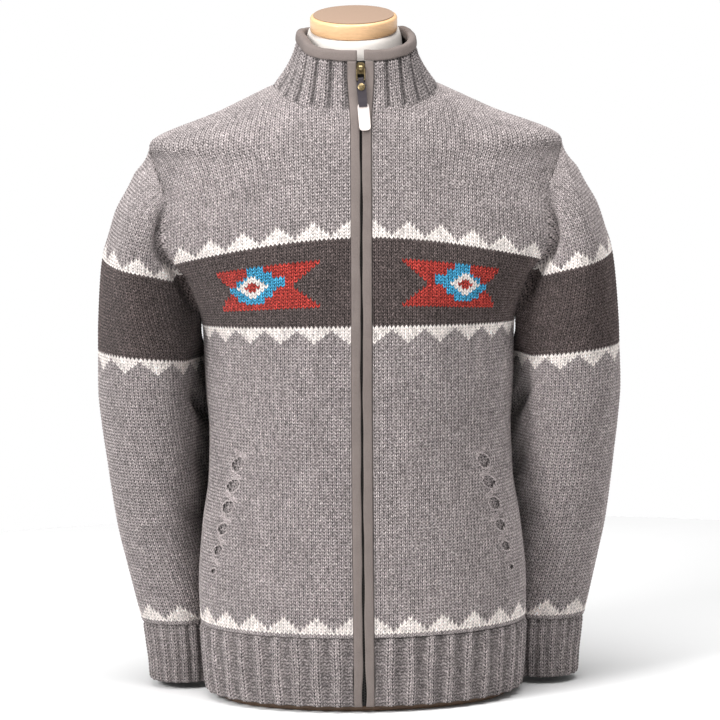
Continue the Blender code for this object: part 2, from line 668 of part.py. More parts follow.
def hem_rows(face, ribs, whole):
    """Outer and inner points of a hem rib. Its rows go from the lower edge to the panel above."""
    fractions, crest = rib_fractions(ribs)
    if whole:
        fractions = np.abs(2 * fractions - 1)
        sign = np.where(np.arange(len(fractions)) < len(fractions) / 2, -1, 1)
    rows = []
    for share in (0.0, 1.0):
        low = trunk_arcs([HEM_FOLLOWS_FROM + share * (HEM_TOP - HEM_FOLLOWS_FROM)], face)[0]
        start = 0.0 if whole else distance_where_x(low, ZIP_EDGE_X)
        length = distance_where_x(low, 1.0)
        points = spread(low, start, length - SEAM_GAP / 2, fractions)
        if whole:
            points[:, 0] *= sign
        height = hem_low(points) * (1 - share) + HEM_TOP * share
        rows.append(np.concatenate([points, height[:, None], crest[:, None]], axis=1))
    rows = np.array(rows)
    grid = rows[:, :, :3]
    plain = np.cross(np.gradient(grid, axis=1), np.array([0.0, 0.0, 1.0]))
    plain /= np.linalg.norm(plain, axis=2, keepdims=True)
    if np.sum(plain[0, 5] * grid[0, 5]) < 0:
        plain = -plain
    plain[:, -1, 1] = 0
    if whole:
        plain[:, 0, 1] = 0
    plain /= np.linalg.norm(plain, axis=2, keepdims=True)
    outer = grid + RIB_RAISE * (rows[:, :, 3:] - 0.5) * plain
    return outer, grid - (KNIT_WALL + HEM_BACKING) * plain


def hem_front(side, mirror):
    outer, inner = hem_rows(-1, FRONT_HEM_RIBS, False)
    return shell("hem_rib_" + side, outer, inner, FINISH["rib"], mirror=mirror)


def hem_back():
    outer, inner = hem_rows(1, BACK_HEM_RIBS, True)
    return shell("hem_rib_back", outer, inner, FINISH["rib"])


def cuff(side, mirror):
    """A ribbed tube that closes the sleeve."""
    fractions, crest = rib_fractions(CUFF_RIBS)
    angles = 2 * math.pi * fractions
    heights = np.array([CUFF_LOW, CUFF_TOP])
    column = {name: through(CUFF_COLUMNS, CUFF, name, heights) for name in CUFF_COLUMNS}
    outer, inner = [], []
    for k, height in enumerate(heights):
        middle = np.array([(column["outer_x"][k] + column["inner_x"][k]) / 2,
                           (column["front"][k] + column["back"][k]) / 2])
        half = np.array([(column["outer_x"][k] - column["inner_x"][k]) / 2,
                         (column["back"][k] - column["front"][k]) / 2])
        ray = np.stack([np.cos(angles), np.sin(angles)], axis=1)
        raised = RIB_RAISE * (crest - 0.5)[:, None]
        ring = middle + ray * (half + raised)
        hollow = middle + ray * (half - KNIT_WALL)
        outer.append(np.column_stack([ring, np.full(len(ring), height)]))
        inner.append(np.column_stack([hollow, np.full(len(ring), height)]))
    return shell("cuff_" + side, np.array(outer), np.array(inner), FINISH["rib"], len(heights), mirror)


# ---------------------------------------------------------------- collar

def neckline(angles):
    """Points round the neckline for angles from 0 at the middle front to 180 degrees at the middle back."""
    points = []
    for angle in angles:
        face = -1 if angle < math.pi / 2 else 1
        low = NECK_FRONT if face < 0 else NECK_BACK
        height = NECK_SIDE - (NECK_SIDE - low) * abs(math.cos(angle))
        x = NECK_SIDE_X * math.sin(angle)
        arc = trunk_arcs([min(height, NECK_SIDE - 1e-4)], face)[0]
        y = float(np.interp(x, arc[:, 0], arc[:, 1]))
        points.append((x, y, height))
    return np.array(points)


def collar_top(angles):
    """Points round the collar's top edge for the same angles."""
    angles = np.asarray(angles)
    middle = (COLLAR_TOP_FRONT + COLLAR_TOP_BACK) / 2
    half = (COLLAR_TOP_BACK - COLLAR_TOP_FRONT) / 2
    power = np.where(np.cos(angles) > 0, COLLAR_FRONT_SQUARE, COLLAR_BACK_ROUND)
    out = (np.abs(np.sin(angles)) ** power + np.abs(np.cos(angles)) ** power) ** (-1 / power)
    front = np.cos(angles) * out
    return np.stack([
        COLLAR_TOP_X * np.sin(angles) * out,
        middle - half * front,
        COLLAR_TOP_MIDDLE - ((COLLAR_TOP_RISE + COLLAR_BACK_RISE) * front
                             + (COLLAR_TOP_RISE - COLLAR_BACK_RISE) * front * front) / 2,
    ], axis=1)


def collar_points(angles, share):
    """Points of the collar's outside at a share of its height. It flares towards the neckline."""
    low = neckline(angles)
    high = collar_top(angles)
    points = high + (low - high) * (1 - share) ** COLLAR_FLARE
    points[:, 2] = low[:, 2] + (high[:, 2] - low[:, 2]) * share
    return points


def round_collar(fractions, share, edge_x):
    """Points round the whole collar between the zip's two sides, mirrored about the middle back."""
    near = collar_points((0.0, COLLAR_START), share)
    start = COLLAR_START * np.interp(edge_x, near[:, 0], (0.0, 1.0))
    angles = math.pi - np.abs(1 - 2 * np.asarray(fractions)) * (math.pi - start)
    points = collar_points(angles, share)
    points[:, 0] *= np.where(np.asarray(fractions) < 0.5, -1, 1)
    return points


def ring_outward(points):
    """Level directions that point out of a ring of points."""
    along = np.gradient(points, axis=0)
    out = np.cross(along, np.array([0.0, 0.0, 1.0]))
    out[:, 2] = 0
    out /= np.linalg.norm(out, axis=1, keepdims=True)
    if out[len(out) // 2, 1] < 0:
        out = -out
    out[0, 0] = 0
    out[-1, 0] = 0
    return out / np.linalg.norm(out, axis=1, keepdims=True)


def collar():
    """Ribbed stand collar. Its top is thin and smooth under the binding."""
    fractions, crest = rib_fractions(COLLAR_RIBS)
    outer, inner = [], []
    for share in COLLAR_HEIGHTS:
        height = NECK_FRONT + share * (COLLAR_TOP_MIDDLE - COLLAR_TOP_RISE - NECK_FRONT)
        points = round_collar(fractions, share, zip_edge_x(height) + SEAM_GAP)
        out = ring_outward(points)
        points[:, 2] += COLLAR_LIFT * (1 - share)
        under = share > COLLAR_RIBBED
        sunk = COLLAR_SINK if share > 0 else 1.0
        raised = -UNDER_BINDING[0] if under else RIB_RAISE * (crest[:, None] - sunk)
        outer.append(points + raised * out)
        inner.append(points - (UNDER_BINDING[1] if under else COLLAR_WALL) * out)
    return shell("collar", np.array(outer), np.array(inner), FINISH["rib"])


def collar_binding():
    """Jersey folded over the collar's top edge: an upturned trough swept round it."""
    fractions = np.linspace(0, 1, BINDING_STATIONS)
    edge = round_collar(fractions, 1.0, BINDING_EDGE_X)
    out = ring_outward(edge)
    below = round_collar(fractions, 1.0 - BINDING_DEPTH / COLLAR_SLANT, BINDING_EDGE_X)
    drop = below - edge
    drop /= np.linalg.norm(drop, axis=1, keepdims=True)
    low = BINDING_DEPTH
    profile = (
        (0.0022, low), (0.0025, 0.0060), (0.0020, -0.0004), (0.0002, -0.0026), (-0.0044, -0.0026),
        (-0.0061, -0.0004), (-0.0065, 0.0060), (-0.0062, low), (-0.0044, low), (-0.0044, -0.0004),
        (-0.0002, -0.0004), (-0.0002, low),
    )
    loops = []
    for p, n, d in zip(edge, out, drop):
        loops.append([drifted(p + n * across + d * down) for across, down in profile])
    return loft("collar_binding", loops, FINISH["jersey"])


# ---------------------------------------------------------------- zip

def middle_front(height):
    """Depth of the cloth's outside at the middle front, up the trunk and then the collar."""
    if height <= NECK_FRONT:
        return -float(through(TRUNK_COLUMNS, TRUNK, "front", height)[0])
    top = COLLAR_TOP_MIDDLE - COLLAR_TOP_RISE
    share = min(1.0, (height - NECK_FRONT) / (top - NECK_FRONT))
    return COLLAR_TOP_FRONT + (THROAT_FRONT - COLLAR_TOP_FRONT) * (1 - share) ** COLLAR_FLARE


def zip_heights(top):
    return np.concatenate([[ZIP_BOTTOM], ZIP_LOW_ROWS, np.linspace(*ZIP_EVEN_ROWS), ZIP_HIGH_ROWS, [top]])


def zip_gap(height):
    """Half the gap between the two zip bands. It widens a little at the hem, and at the slider to take it."""
    return float(through(GAP_COLUMNS, GAP, "gap", height)[0])


def swept_band(name, heights, half_widths, middle_xs, near, far, finish, mirror=False):
    """An eight-sided strip up the middle front, between two depths behind the cloth's face."""
    loops = []
    for height, half, x in zip(heights, half_widths, middle_xs):
        y = middle_front(height)
        profile = ((-1.0, 0.3), (-0.7, 0.0), (0.7, 0.0), (1.0, 0.3), (1.0, 0.75), (0.8, 1.0), (-0.8, 1.0),
                   (-1.0, 0.75))
        sign = -1 if mirror else 1
        loops.append([drifted((sign * (x + a * half), y + near + b * (far - near), height))
                      for a, b in profile])
    return loft(name, loops, finish)


def zip_band(side, mirror):
    heights = zip_heights(COLLAR_TOP_MIDDLE - COLLAR_TOP_RISE - BINDING_DEPTH - 2 * SEAM_GAP)
    gaps = np.array([zip_gap(h) for h in heights])
    outer_edge = np.array([zip_edge_x(h) for h in heights]) - 2 * SEAM_GAP
    halves = (outer_edge - gaps) / 2
    return swept_band("zip_band_" + side, heights, halves, (outer_edge + gaps) / 2, -ZIP_BAND_STAND,
                      ZIP_BAND_THICKNESS - ZIP_BAND_STAND, FINISH["jersey"], mirror)


def zip_chain():
    """Closed zip behind the gap, as one strip as wide as the gap and its margins."""
    heights = zip_heights(COLLAR_TOP_MIDDLE - COLLAR_TOP_RISE - BINDING_DEPTH - 2 * SEAM_GAP)
    halves = np.array([zip_gap(h) for h in heights]) + TAPE_MARGIN
    depth = ZIP_BAND_THICKNESS - ZIP_BAND_STAND + SEAM_GAP
    return swept_band("zip_chain", heights, halves, np.zeros(len(heights)), depth, depth + TAPE_THICKNESS,
                      FINISH["tape"])


def pivot_point():
    return np.array(drifted((0.0, middle_front(SLIDER_HEIGHT) - PIVOT_STAND, SLIDER_HEIGHT)))


def zip_slider():
    """Slider between the bands, with a bridge arched over the pull's wire."""
    face = middle_front(SLIDER_HEIGHT) + SLIDER_SINK
    low = SLIDER_HEIGHT - SLIDER_LENGTH / 2
    high = SLIDER_HEIGHT + SLIDER_LENGTH / 2
    lean = (middle_front(high) - middle_front(low)) / SLIDER_LENGTH
    half = SLIDER_WIDTH / 2
    drift = pivot_point()[0]
    outline = ((-0.72, -1.0), (0.72, -1.0), (1.0, -0.2), (1.0, 0.7), (0.6, 1.0), (-0.6, 1.0), (-1.0, 0.7),
               (-1.0, -0.2))
    loops = []
    for depth in (SLIDER_PLATE, 0.0):
        loops.append([(drift + a * half, face + depth + lean * b * SLIDER_LENGTH / 2,
                       SLIDER_HEIGHT + b * SLIDER_LENGTH / 2) for a, b in outline])
    plate = loft("zip_slider", loops, FINISH["brass"], smooth=False)
    pivot = pivot_point()
    steps = np.linspace(-math.pi / 2, math.pi / 2, 7)
    rooted = face + SLIDER_PLATE / 2
    reach = BRIDGE_HOLE + BRIDGE_FRONT_WALL
    rise = BRIDGE_HOLE + BRIDGE_END_WALL
    path_out = [(pivot[1] - reach * math.cos(t), pivot[2] + rise * math.sin(t)) for t in steps]
    path_in = [(pivot[1] - BRIDGE_HOLE * math.cos(t), pivot[2] + BRIDGE_HOLE * math.sin(t)) for t in steps]
    outline = ([(rooted, path_out[0][1])] + path_out + [(rooted, path_out[-1][1]), (rooted, path_in[-1][1])]
               + path_in[::-1] + [(rooted, path_in[0][1])])
    sides = (drift - BRIDGE_WIDTH / 2, drift + BRIDGE_WIDTH / 2)
    bridge = loft("slider_bridge", [[(x, y, z) for y, z in outline] for x in sides], FINISH["brass"],
                  smooth=False)
    bridge.hide_render = True
    bridge.display_type = "WIRE"
    joined = plate.modifiers.new("bridge", "BOOLEAN")
    joined.operation = "UNION"
    joined.solver = "EXACT"
    joined.object = bridge
    return plate


def on_pull(piece, empty):
    """Hangs a piece, modelled about the pivot, from the pull's hinge."""
    piece.parent = empty
    return piece


def link(empty):
    """Rectangular wire loop, through the bridge and through the strap's fold."""
    work = bmesh.new()
    half = LINK_WIDTH / 2
    corner = LINK_CORNER
    path = []
    low = corner - LINK_LENGTH
    for cx, cz, first in ((half - corner, -corner, 0), (-half + corner, -corner, 90),
                          (-half + corner, low, 180), (half - corner, low, 270)):
        for step in (0, 45, 90):
            angle = math.radians(first + step)
            path.append((cx + corner * math.cos(angle), cz + corner * math.sin(angle), angle))
    rings = []
    for x, z, angle in path:
        ring = []
        for k in range(6):
            turn = 2 * math.pi * k / 6
            out = WIRE_RADIUS * math.cos(turn)
            ring.append(work.verts.new((x + out * math.cos(angle), WIRE_RADIUS * math.sin(turn),
                                        z + out * math.sin(angle))))
        rings.append(ring)
    for lower, upper in zip(rings, rings[1:] + rings[:1]):
        for k in range(6):
            work.faces.new((lower[k], lower[(k + 1) % 6], upper[(k + 1) % 6], upper[k]))
    return on_pull(object_of("pull_link", work, FINISH["brass"]), empty)


def strap(empty):
    """Leather folded round the link's lower wire, with the pale tab held between its two ends."""
    wire_z = -LINK_LENGTH
    fold = WIRE_RADIUS + FOLD_PLAY
    slit = TAB_THICKNESS / 2 + SEAM_GAP
    inner, outer = [], []
    for step in np.linspace(0, math.pi, 7):
        inner.append((-fold * math.cos(step), wire_z + fold * math.sin(step)))
        outer.append((-(fold + STRAP_SKIN) * math.cos(step), wire_z + (fold + STRAP_SKIN) * math.sin(step)))
    low = wire_z - STRAP_LENGTH
    waist = wire_z - STRAP_WAIST
    shoulder = wire_z - STRAP_SHOULDER
    open_low, open_high = (low + TAB_OVERLAP + more for more in STRAP_OPENS)
    front_in = [(-slit, low), (-slit, open_low), (-STRAP_HALF_SLIT, open_high), (-STRAP_HALF_SLIT, shoulder),
                (-STRAP_HALF_SLIT, waist)]
    back_in = [(-y, z) for y, z in front_in[::-1]]
    front_out = [(y - STRAP_SKIN, z) for y, z in front_in]
    back_out = [(-y, z) for y, z in front_out[::-1]]
    outline = front_out + outer + back_out + back_in[::-1] + inner[::-1] + front_in[::-1]
    loops = []
    for side in (-0.5, 0.5):
        widths = np.interp([z for y, z in outline], (low, shoulder, waist),
                           (STRAP_END_WIDTH, STRAP_WIDTH, FOLD_WIDTH))
        loops.append([(side * width, y, z) for width, (y, z) in zip(widths, outline)])
    return on_pull(loft("pull_strap", loops, FINISH["dark_leather"], smooth=False), empty)


def rounded_outline(half, low, high, corner, steps=4):
    """A rectangle with round corners, as (x, z) points."""
    points = []
    for cx, cz, first in ((half - corner, high - corner, 0), (-half + corner, high - corner, 90),
                          (-half + corner, low + corner, 180), (half - corner, low + corner, 270)):
        for k in range(steps):
            angle = math.radians(first + 90 * k / (steps - 1))
            points.append((cx + corner * math.cos(angle), cz + corner * math.sin(angle)))
    return points


def tab(empty):
    low = -LINK_LENGTH - STRAP_LENGTH - TAB_LENGTH + TAB_OVERLAP
    outline = rounded_outline(TAB_WIDTH / 2, low, low + TAB_LENGTH, TAB_CORNER)
    half = TAB_THICKNESS / 2
    return on_pull(loft("pull_tab", [[(x, y, z) for x, z in outline] for y in (half, -half)],
                        FINISH["pale_leather"], smooth=False), empty)


def rivet(empty):
    """Domed rivet on the strap."""
    middle = -LINK_LENGTH - RIVET_DOWN
    seat = -STRAP_HALF_SLIT - STRAP_SKIN - SEAM_GAP
    loops = []
    for radius, stand in ((1.0, 0.0), (1.0, 0.45), (0.75, 0.85), (0.35, 1.0)):
        loops.append([(RIVET_RADIUS * radius * math.cos(a), seat - RIVET_HEIGHT * stand,
                       middle + RIVET_RADIUS * radius * math.sin(a))
                      for a in np.linspace(0, 2 * math.pi, 12, endpoint=False)])
    return on_pull(loft("pull_rivet", loops, FINISH["brass"]), empty)


def zip_pull():
    """The pull hangs down the cloth's slope. Its hinge runs across, through the slider's bridge."""
    hinge = bpy.data.objects.new("pull_hinge", None)
    bpy.context.scene.collection.objects.link(hinge)
    hinge.location = pivot_point()
    hinge.rotation_euler = (-PULL_LEAN, 0, 0)
    swing = bpy.data.objects.new("pull_slant", None)
    bpy.context.scene.collection.objects.link(swing)
    swing.parent = hinge
    link(hinge)
    swing.location = (0, 0, -LINK_LENGTH)
    swing.rotation_euler = (0, -PULL_TILT, 0)
    for make in (strap, tab, rivet):
        piece = make(swing)
        for vert in piece.data.vertices:
            vert.co.z += LINK_LENGTH


# ---------------------------------------------------------------- pockets

def pocket_lining(side, mirror):
    """The pocket's own layer, close behind the eyelets."""
    heights = np.linspace(EYELET_BOTTOM[1] - LINING_MARGIN, EYELET_TOP[1] + LINING_MARGIN, 8)
    arcs = trunk_arcs(heights, -1)
    lean = (EYELET_TOP[0] - EYELET_BOTTOM[0]) / (EYELET_TOP[1] - EYELET_BOTTOM[1])
    fractions = np.linspace(0, 1, 5)
    rows, shares = [], []
    for height, arc in zip(heights, arcs):
        middle = EYELET_TOP[0] + lean * (height - EYELET_TOP[1])
        length = distance_where_x(arc, 1.0)
        begin = distance_where_x(arc, middle - LINING_MARGIN)
        stop = distance_where_x(arc, middle + LINING_MARGIN * LINING_OUTER_SHARE)
        stop = min(stop, length - LINING_SEAM_MARGIN)
        rows.append(spread(arc, begin, stop, fractions))
        shares.append((begin + (stop - begin) * fractions) / length)
    grid = lifted(np.array(rows), heights)
    normals = trunk_normals(heights, -1, np.array(shares))
    outer = grid - (KNIT_WALL + LINING_GAP) * normals
    return shell("pocket_lining_" + side, outer, outer - LINING_WALL * normals, FINISH["knit"], mirror=mirror)


# ---------------------------------------------------------------- the form

def form_torso():
    """Smooth torso and neck, whose top leans forward with the neck block."""
    table = np.array(FORM)
    shoulders = table[table[:, 0] > FORM_EVEN_TO, 0]
    heights = np.concatenate([np.linspace(FORM[0][0], FORM_EVEN_TO, FORM_EVEN_ROWS), shoulders])
    column = {name: through(FORM_COLUMNS, FORM, name, heights) for name in FORM_COLUMNS}
    loops = []
    for k, height in enumerate(heights):
        loop = []
        for step in range(FORM_SIDES):
            angle = 2 * math.pi * step / FORM_SIDES
            depth = column["front"][k] if math.sin(angle) < 0 else column["back"][k]
            y = depth * math.sin(angle)
            leaning = np.clip((height - NECK_LEANS_FROM) / (NECK_TOP - NECK_LEANS_FROM), 0, 1)
            lean = math.tan(NECK_TILT) * (y - NECK_Y) * leaning
            loop.append((column["side"][k] * math.cos(angle), y, height + lean))
        loops.append(loop)
    return loft("form_torso", loops, FINISH["form"])


def turned(name, outline, finish):
    """A turned piece from (radius, height) points, leaning with the neck."""
    base = np.array([0.0, NECK_Y, NECK_TOP + SEAM_GAP])
    loops = []
    for radius, up in outline:
        loop = []
        for step in range(ROUND_SIDES):
            angle = 2 * math.pi * step / ROUND_SIDES
            x = radius * math.cos(angle)
            y = radius * math.sin(angle)
            loop.append(base + np.array([x, y * math.cos(NECK_TILT) - up * math.sin(NECK_TILT),
                                         y * math.sin(NECK_TILT) + up * math.cos(NECK_TILT)]))
        loops.append(loop)
    return loft(name, loops, finish)


def neck_block():
    top = BLOCK_HEIGHT
    outline = ((BLOCK_RADIUS - 0.0015, 0.0), (BLOCK_RADIUS, 0.0020), (BLOCK_RADIUS, top - 0.003),
               (BLOCK_RADIUS - 0.0035, top))
    return turned("form_neck_block", outline, FINISH["maple"])


def cap_top():
    low = BLOCK_HEIGHT + SEAM_GAP
    return turned("form_cap_top", ((CAP_RADIUS, low), (CAP_RADIUS, low + CAP_HEIGHT - 0.001),
                                   (CAP_RADIUS - 0.001, low + CAP_HEIGHT)), FINISH["cap"])


def form_base():
    """Thin oval board that the form stands on."""
    loops = []
    for height in (0.0, BASE_THICKNESS):
        loop = []
        for step in range(ROUND_SIDES + 8):
            angle = 2 * math.pi * step / (ROUND_SIDES + 8)
            depth = BASE_FRONT if math.sin(angle) < 0 else BASE_BACK
            loop.append((BASE_HALF_WIDTH * math.cos(angle), depth * math.sin(angle), height))
        loops.append(loop)
    return loft("form_base", loops, FINISH["board"])


# ---------------------------------------------------------------- the whole part

for old in list(bpy.data.objects):
    bpy.data.objects.remove(old, do_unlink=True)

FINISH = {
    "knit": material("heather_grey_knit", (0.31, 0.275, 0.27), 0.95),
    "rib": material("heather_grey_rib", (0.28, 0.245, 0.24), 0.95),
    "jersey": material("taupe_jersey", (0.30, 0.255, 0.235), 0.9),
    "tape": material("black_zip_tape", (0.02, 0.02, 0.02), 0.8),
    "brass": material("aged_brass", (0.42, 0.31, 0.15), 0.35, 1.0),
    "dark_leather": material("charcoal_leather", (0.075, 0.065, 0.07), 0.6),
    "pale_leather": material("pale_leather", (0.86, 0.76, 0.71), 0.6),
    "form": material("off_white_form", (0.82, 0.77, 0.73), 0.6),
    "maple": material("honey_maple", (0.85, 0.60, 0.34), 0.4),
    "cap": material("beige_cap", (0.66, 0.47, 0.35), 0.6),
    "board": material("brown_board", (0.20, 0.13, 0.09), 0.7),
}

both_sides(front)
back()
both_sides(sleeve)
both_sides(hem_front)
hem_back()
both_sides(cuff)
collar()
collar_binding()
both_sides(zip_band)
zip_chain()
zip_slider()
zip_pull()
both_sides(pocket_lining)
form_torso()
neck_block()
cap_top()
form_base()
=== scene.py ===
"""Looks of a chunky zipped cardigan on its torso form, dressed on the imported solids.

Every knitted piece is made stitch by stitch on the same skin as its solid. A stitch is two slanted legs
in a column, or wale, and the colours of the bands and of the banner are worked out for each stitch from
its wale and its row. Left is the wearer's, at +X, and the front faces -Y.
"""

import math
from functools import partial

import bpy
import numpy as np
from mathutils import Matrix, Vector


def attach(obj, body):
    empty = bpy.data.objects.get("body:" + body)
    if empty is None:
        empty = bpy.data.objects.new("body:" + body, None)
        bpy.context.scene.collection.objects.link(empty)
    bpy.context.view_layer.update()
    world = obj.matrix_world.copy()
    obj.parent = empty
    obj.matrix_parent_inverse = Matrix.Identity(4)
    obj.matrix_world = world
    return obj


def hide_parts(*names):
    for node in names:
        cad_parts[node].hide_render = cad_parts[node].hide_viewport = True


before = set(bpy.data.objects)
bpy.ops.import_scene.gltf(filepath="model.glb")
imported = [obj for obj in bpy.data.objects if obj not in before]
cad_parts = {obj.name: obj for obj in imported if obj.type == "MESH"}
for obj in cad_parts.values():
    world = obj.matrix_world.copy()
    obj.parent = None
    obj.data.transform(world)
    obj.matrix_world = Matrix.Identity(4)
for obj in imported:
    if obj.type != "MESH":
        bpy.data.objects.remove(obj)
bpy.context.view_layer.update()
rng = np.random.default_rng(7)

# ---------------------------------------------------------------- sizes, as in the solids

SEAM_GAP = 0.0003
ROUNDNESS = 0.5523
HEM_TOP = 0.0865
CUFF_TOP = 0.0765
CUFF_LOW = 0.0080
UNDERARM = 0.4250
SHOULDER_TIP = 0.6380
NECK_SIDE = 0.7050
NECK_FRONT = 0.6770
NECK_BACK = 0.6970
NECK_SIDE_X = 0.0930
ZIP_EDGE_X = 0.0117
ZIP_EDGE_TOP_X = 0.0150
ZIP_EDGE_SPREADS = (0.660, 0.720)
UNDERARM_CLEARANCE = 0.0030
KNIT_WALL = 0.0042
RIB_RAISE = 0.0022
HEM_FOLLOWS_FROM = 0.0200
HEM_SIDE_X = 0.1800
HEM_FRONT_LOW = 0.0072
HEM_SIDE_LOW = 0.0130
HEM_BACK_LOW = 0.0100
UNDERARM_CLEARS_OVER = 0.040
SHOULDER_ROUNDS_OVER = 0.030

DRIFT_COLUMNS = ("height", "drift")
DRIFT = ((0.000, 0.0000), (0.300, 0.0020), (0.500, 0.0045), (0.700, 0.0068), (0.790, 0.0075))
DRIFT_REACH = 0.170
DRIFT_DEPTH = 0.050

TRUNK_COLUMNS = ("height", "front", "back", "edge_x", "front_edge", "back_edge", "front_turn", "back_turn")
TRUNK = (
    (0.000, 0.1225, 0.1120, 0.1790, 0.000, 0.000, 90, 90),
    (0.040, 0.1275, 0.1190, 0.1840, 0.000, 0.000, 90, 90),
    (0.082, 0.1300, 0.1230, 0.1870, 0.000, 0.000, 90, 90),
    (0.130, 0.1325, 0.1250, 0.1885, 0.000, 0.000, 90, 90),
    (0.200, 0.1330, 0.1230, 0.1830, 0.000, 0.000, 90, 90),
    (0.260, 0.1330, 0.1210, 0.1745, 0.000, 0.000, 90, 90),
    (0.310, 0.1340, 0.1210, 0.1730, 0.000, 0.000, 90, 90),
    (0.370, 0.1370, 0.1240, 0.1765, 0.000, 0.000, 90, 90),
    (0.425, 0.1390, 0.1280, 0.1780, 0.000, 0.000, 90, 90),
    (0.445, 0.1395, 0.1300, 0.1795, -0.028, 0.026, 88, 88),
    (0.468, 0.1395, 0.1320, 0.1850, -0.050, 0.050, 82, 82),
    (0.495, 0.1390, 0.1340, 0.1945, -0.068, 0.072, 72, 74),
    (0.512, 0.1380, 0.1350, 0.2080, -0.080, 0.085, 58, 60),
    (0.530, 0.1365, 0.1360, 0.2150, -0.087, 0.091, 45, 48),
    (0.552, 0.1345, 0.1355, 0.2140, -0.086, 0.090, 40, 42),
    (0.575, 0.1310, 0.1335, 0.2130, -0.079, 0.082, 40, 42),
    (0.600, 0.1265, 0.1290, 0.2205, -0.062, 0.064, 48, 50),
    (0.620, 0.1220, 0.1240, 0.2290, -0.038, 0.040, 62, 62),
    (0.638, 0.1175, 0.1175, 0.2355, 0.000, 0.000, 90, 90),
    (0.677, 0.1060, 0.0970, 0.1523, 0.000, 0.000, 90, 90),
    (0.697, 0.0970, 0.0790, 0.1100, 0.000, 0.000, 90, 90),
    (0.705, 0.0920, 0.0720, 0.0930, 0.000, 0.000, 90, 90),
)

SLEEVE_COLUMNS = ("height", "outer_x", "outer_y", "inner_x", "inner_y", "crest_x", "front", "back",
                  "start_turn")
SLEEVE = (
    (0.076, 0.2590, 0.068, 0.1755, 0.068, 0.2150, 0.0250, 0.1120, -90),
    (0.109, 0.2665, 0.065, 0.1760, 0.062, 0.2190, 0.0190, 0.1100, -86),
    (0.151, 0.2755, 0.058, 0.1750, 0.052, 0.2250, 0.0080, 0.1050, -72),
    (0.192, 0.2835, 0.047, 0.1765, 0.044, 0.2300, -0.0080, 0.0980, -62),
    (0.233, 0.2885, 0.033, 0.1735, 0.040, 0.2330, -0.0260, 0.0900, -62),
    (0.275, 0.2925, 0.018, 0.1695, 0.040, 0.2360, -0.0440, 0.0800, -62),
    (0.316, 0.2970, 0.010, 0.1700, 0.038, 0.2380, -0.0560, 0.0770, -63),
    (0.358, 0.3000, 0.004, 0.1740, 0.034, 0.2400, -0.0650, 0.0750, -66),
    (0.399, 0.2990, 0.000, 0.1790, 0.024, 0.2410, -0.0730, 0.0760, -74),
    (0.425, 0.2985, 0.000, 0.1810, 0.000, 0.2430, -0.0790, 0.0790, -90),
    (0.445, 0.2975, 0.000, 0.1810, 0.000, 0.2460, -0.0850, 0.0820, -60),
    (0.468, 0.2960, 0.000, 0.1850, 0.000, 0.2480, -0.0900, 0.0860, -25),
    (0.496, 0.2935, 0.000, 0.1945, 0.000, 0.2490, -0.0950, 0.0920, -12),
    (0.520, 0.2895, 0.000, 0.2120, 0.000, 0.2480, -0.0965, 0.0960, -20),
    (0.537, 0.2840, 0.000, 0.2150, 0.000, 0.2460, -0.0960, 0.0960, -35),
    (0.565, 0.2750, 0.000, 0.2130, 0.000, 0.2410, -0.0880, 0.0890, -35),
    (0.592, 0.2600, 0.000, 0.2175, 0.000, 0.2350, -0.0710, 0.0720, -30),
    (0.606, 0.2530, 0.000, 0.2230, 0.000, 0.2330, -0.0560, 0.0570, -25),
    (0.620, 0.2465, 0.000, 0.2290, 0.000, 0.2340, -0.0385, 0.0405, -10),
    (0.633, 0.2405, 0.000, 0.2362, 0.000, 0.2368, -0.0130, 0.0130, 0),
    (0.638, 0.2386, 0.000, 0.2378, 0.000, 0.2382, 0.0000, 0.0000, 0),
)

CUFF_COLUMNS = ("height", "outer_x", "inner_x", "front", "back")
CUFF = (
    (0.008, 0.2505, 0.1720, 0.0285, 0.1075),
    (0.030, 0.2515, 0.1720, 0.0270, 0.1090),
    (0.055, 0.2545, 0.1720, 0.0255, 0.1100),
    (0.0765, 0.2570, 0.1730, 0.0255, 0.1110),
)

FORM_COLUMNS = ("height", "side", "front", "back")
FORM = (
    (0.0058, 0.1480, 0.1010, 0.0940),
    (0.0300, 0.1550, 0.1060, 0.0990),
    (0.1000, 0.1640, 0.1120, 0.1050),
    (0.1800, 0.1600, 0.1110, 0.1020),
    (0.2700, 0.1480, 0.1080, 0.0980),
    (0.3600, 0.1520, 0.1150, 0.1020),
    (0.4400, 0.1590, 0.1200, 0.1100),
    (0.5200, 0.1720, 0.1190, 0.1160),
    (0.5700, 0.1820, 0.1150, 0.1150),
    (0.6000, 0.1850, 0.1090, 0.1100),
    (0.6200, 0.1840, 0.1040, 0.1050),
    (0.6450, 0.1760, 0.0980, 0.0960),
    (0.6650, 0.1550, 0.0930, 0.0860),
    (0.6800, 0.1250, 0.0880, 0.0760),
    (0.6950, 0.0900, 0.0830, 0.0640),
    (0.7100, 0.0695, 0.0770, 0.0560),
    (0.7250, 0.0605, 0.0735, 0.0490),
    (0.7450, 0.0555, 0.0715, 0.0430),
    (0.7570, 0.0540, 0.0700, 0.0400),
    (0.7650, 0.0510, 0.0670, 0.0375),
)
BASE_THICKNESS = 0.0055
BASE_HALF_WIDTH = 0.1650
BASE_FRONT = 0.1100
BASE_BACK = 0.1050
NECK_Y = -0.0150
NECK_TILT = math.radians(11.5)
BLOCK_RADIUS = 0.0495
BLOCK_HEIGHT = 0.0185
CAP_RADIUS = 0.0458
CAP_HEIGHT = 0.0013

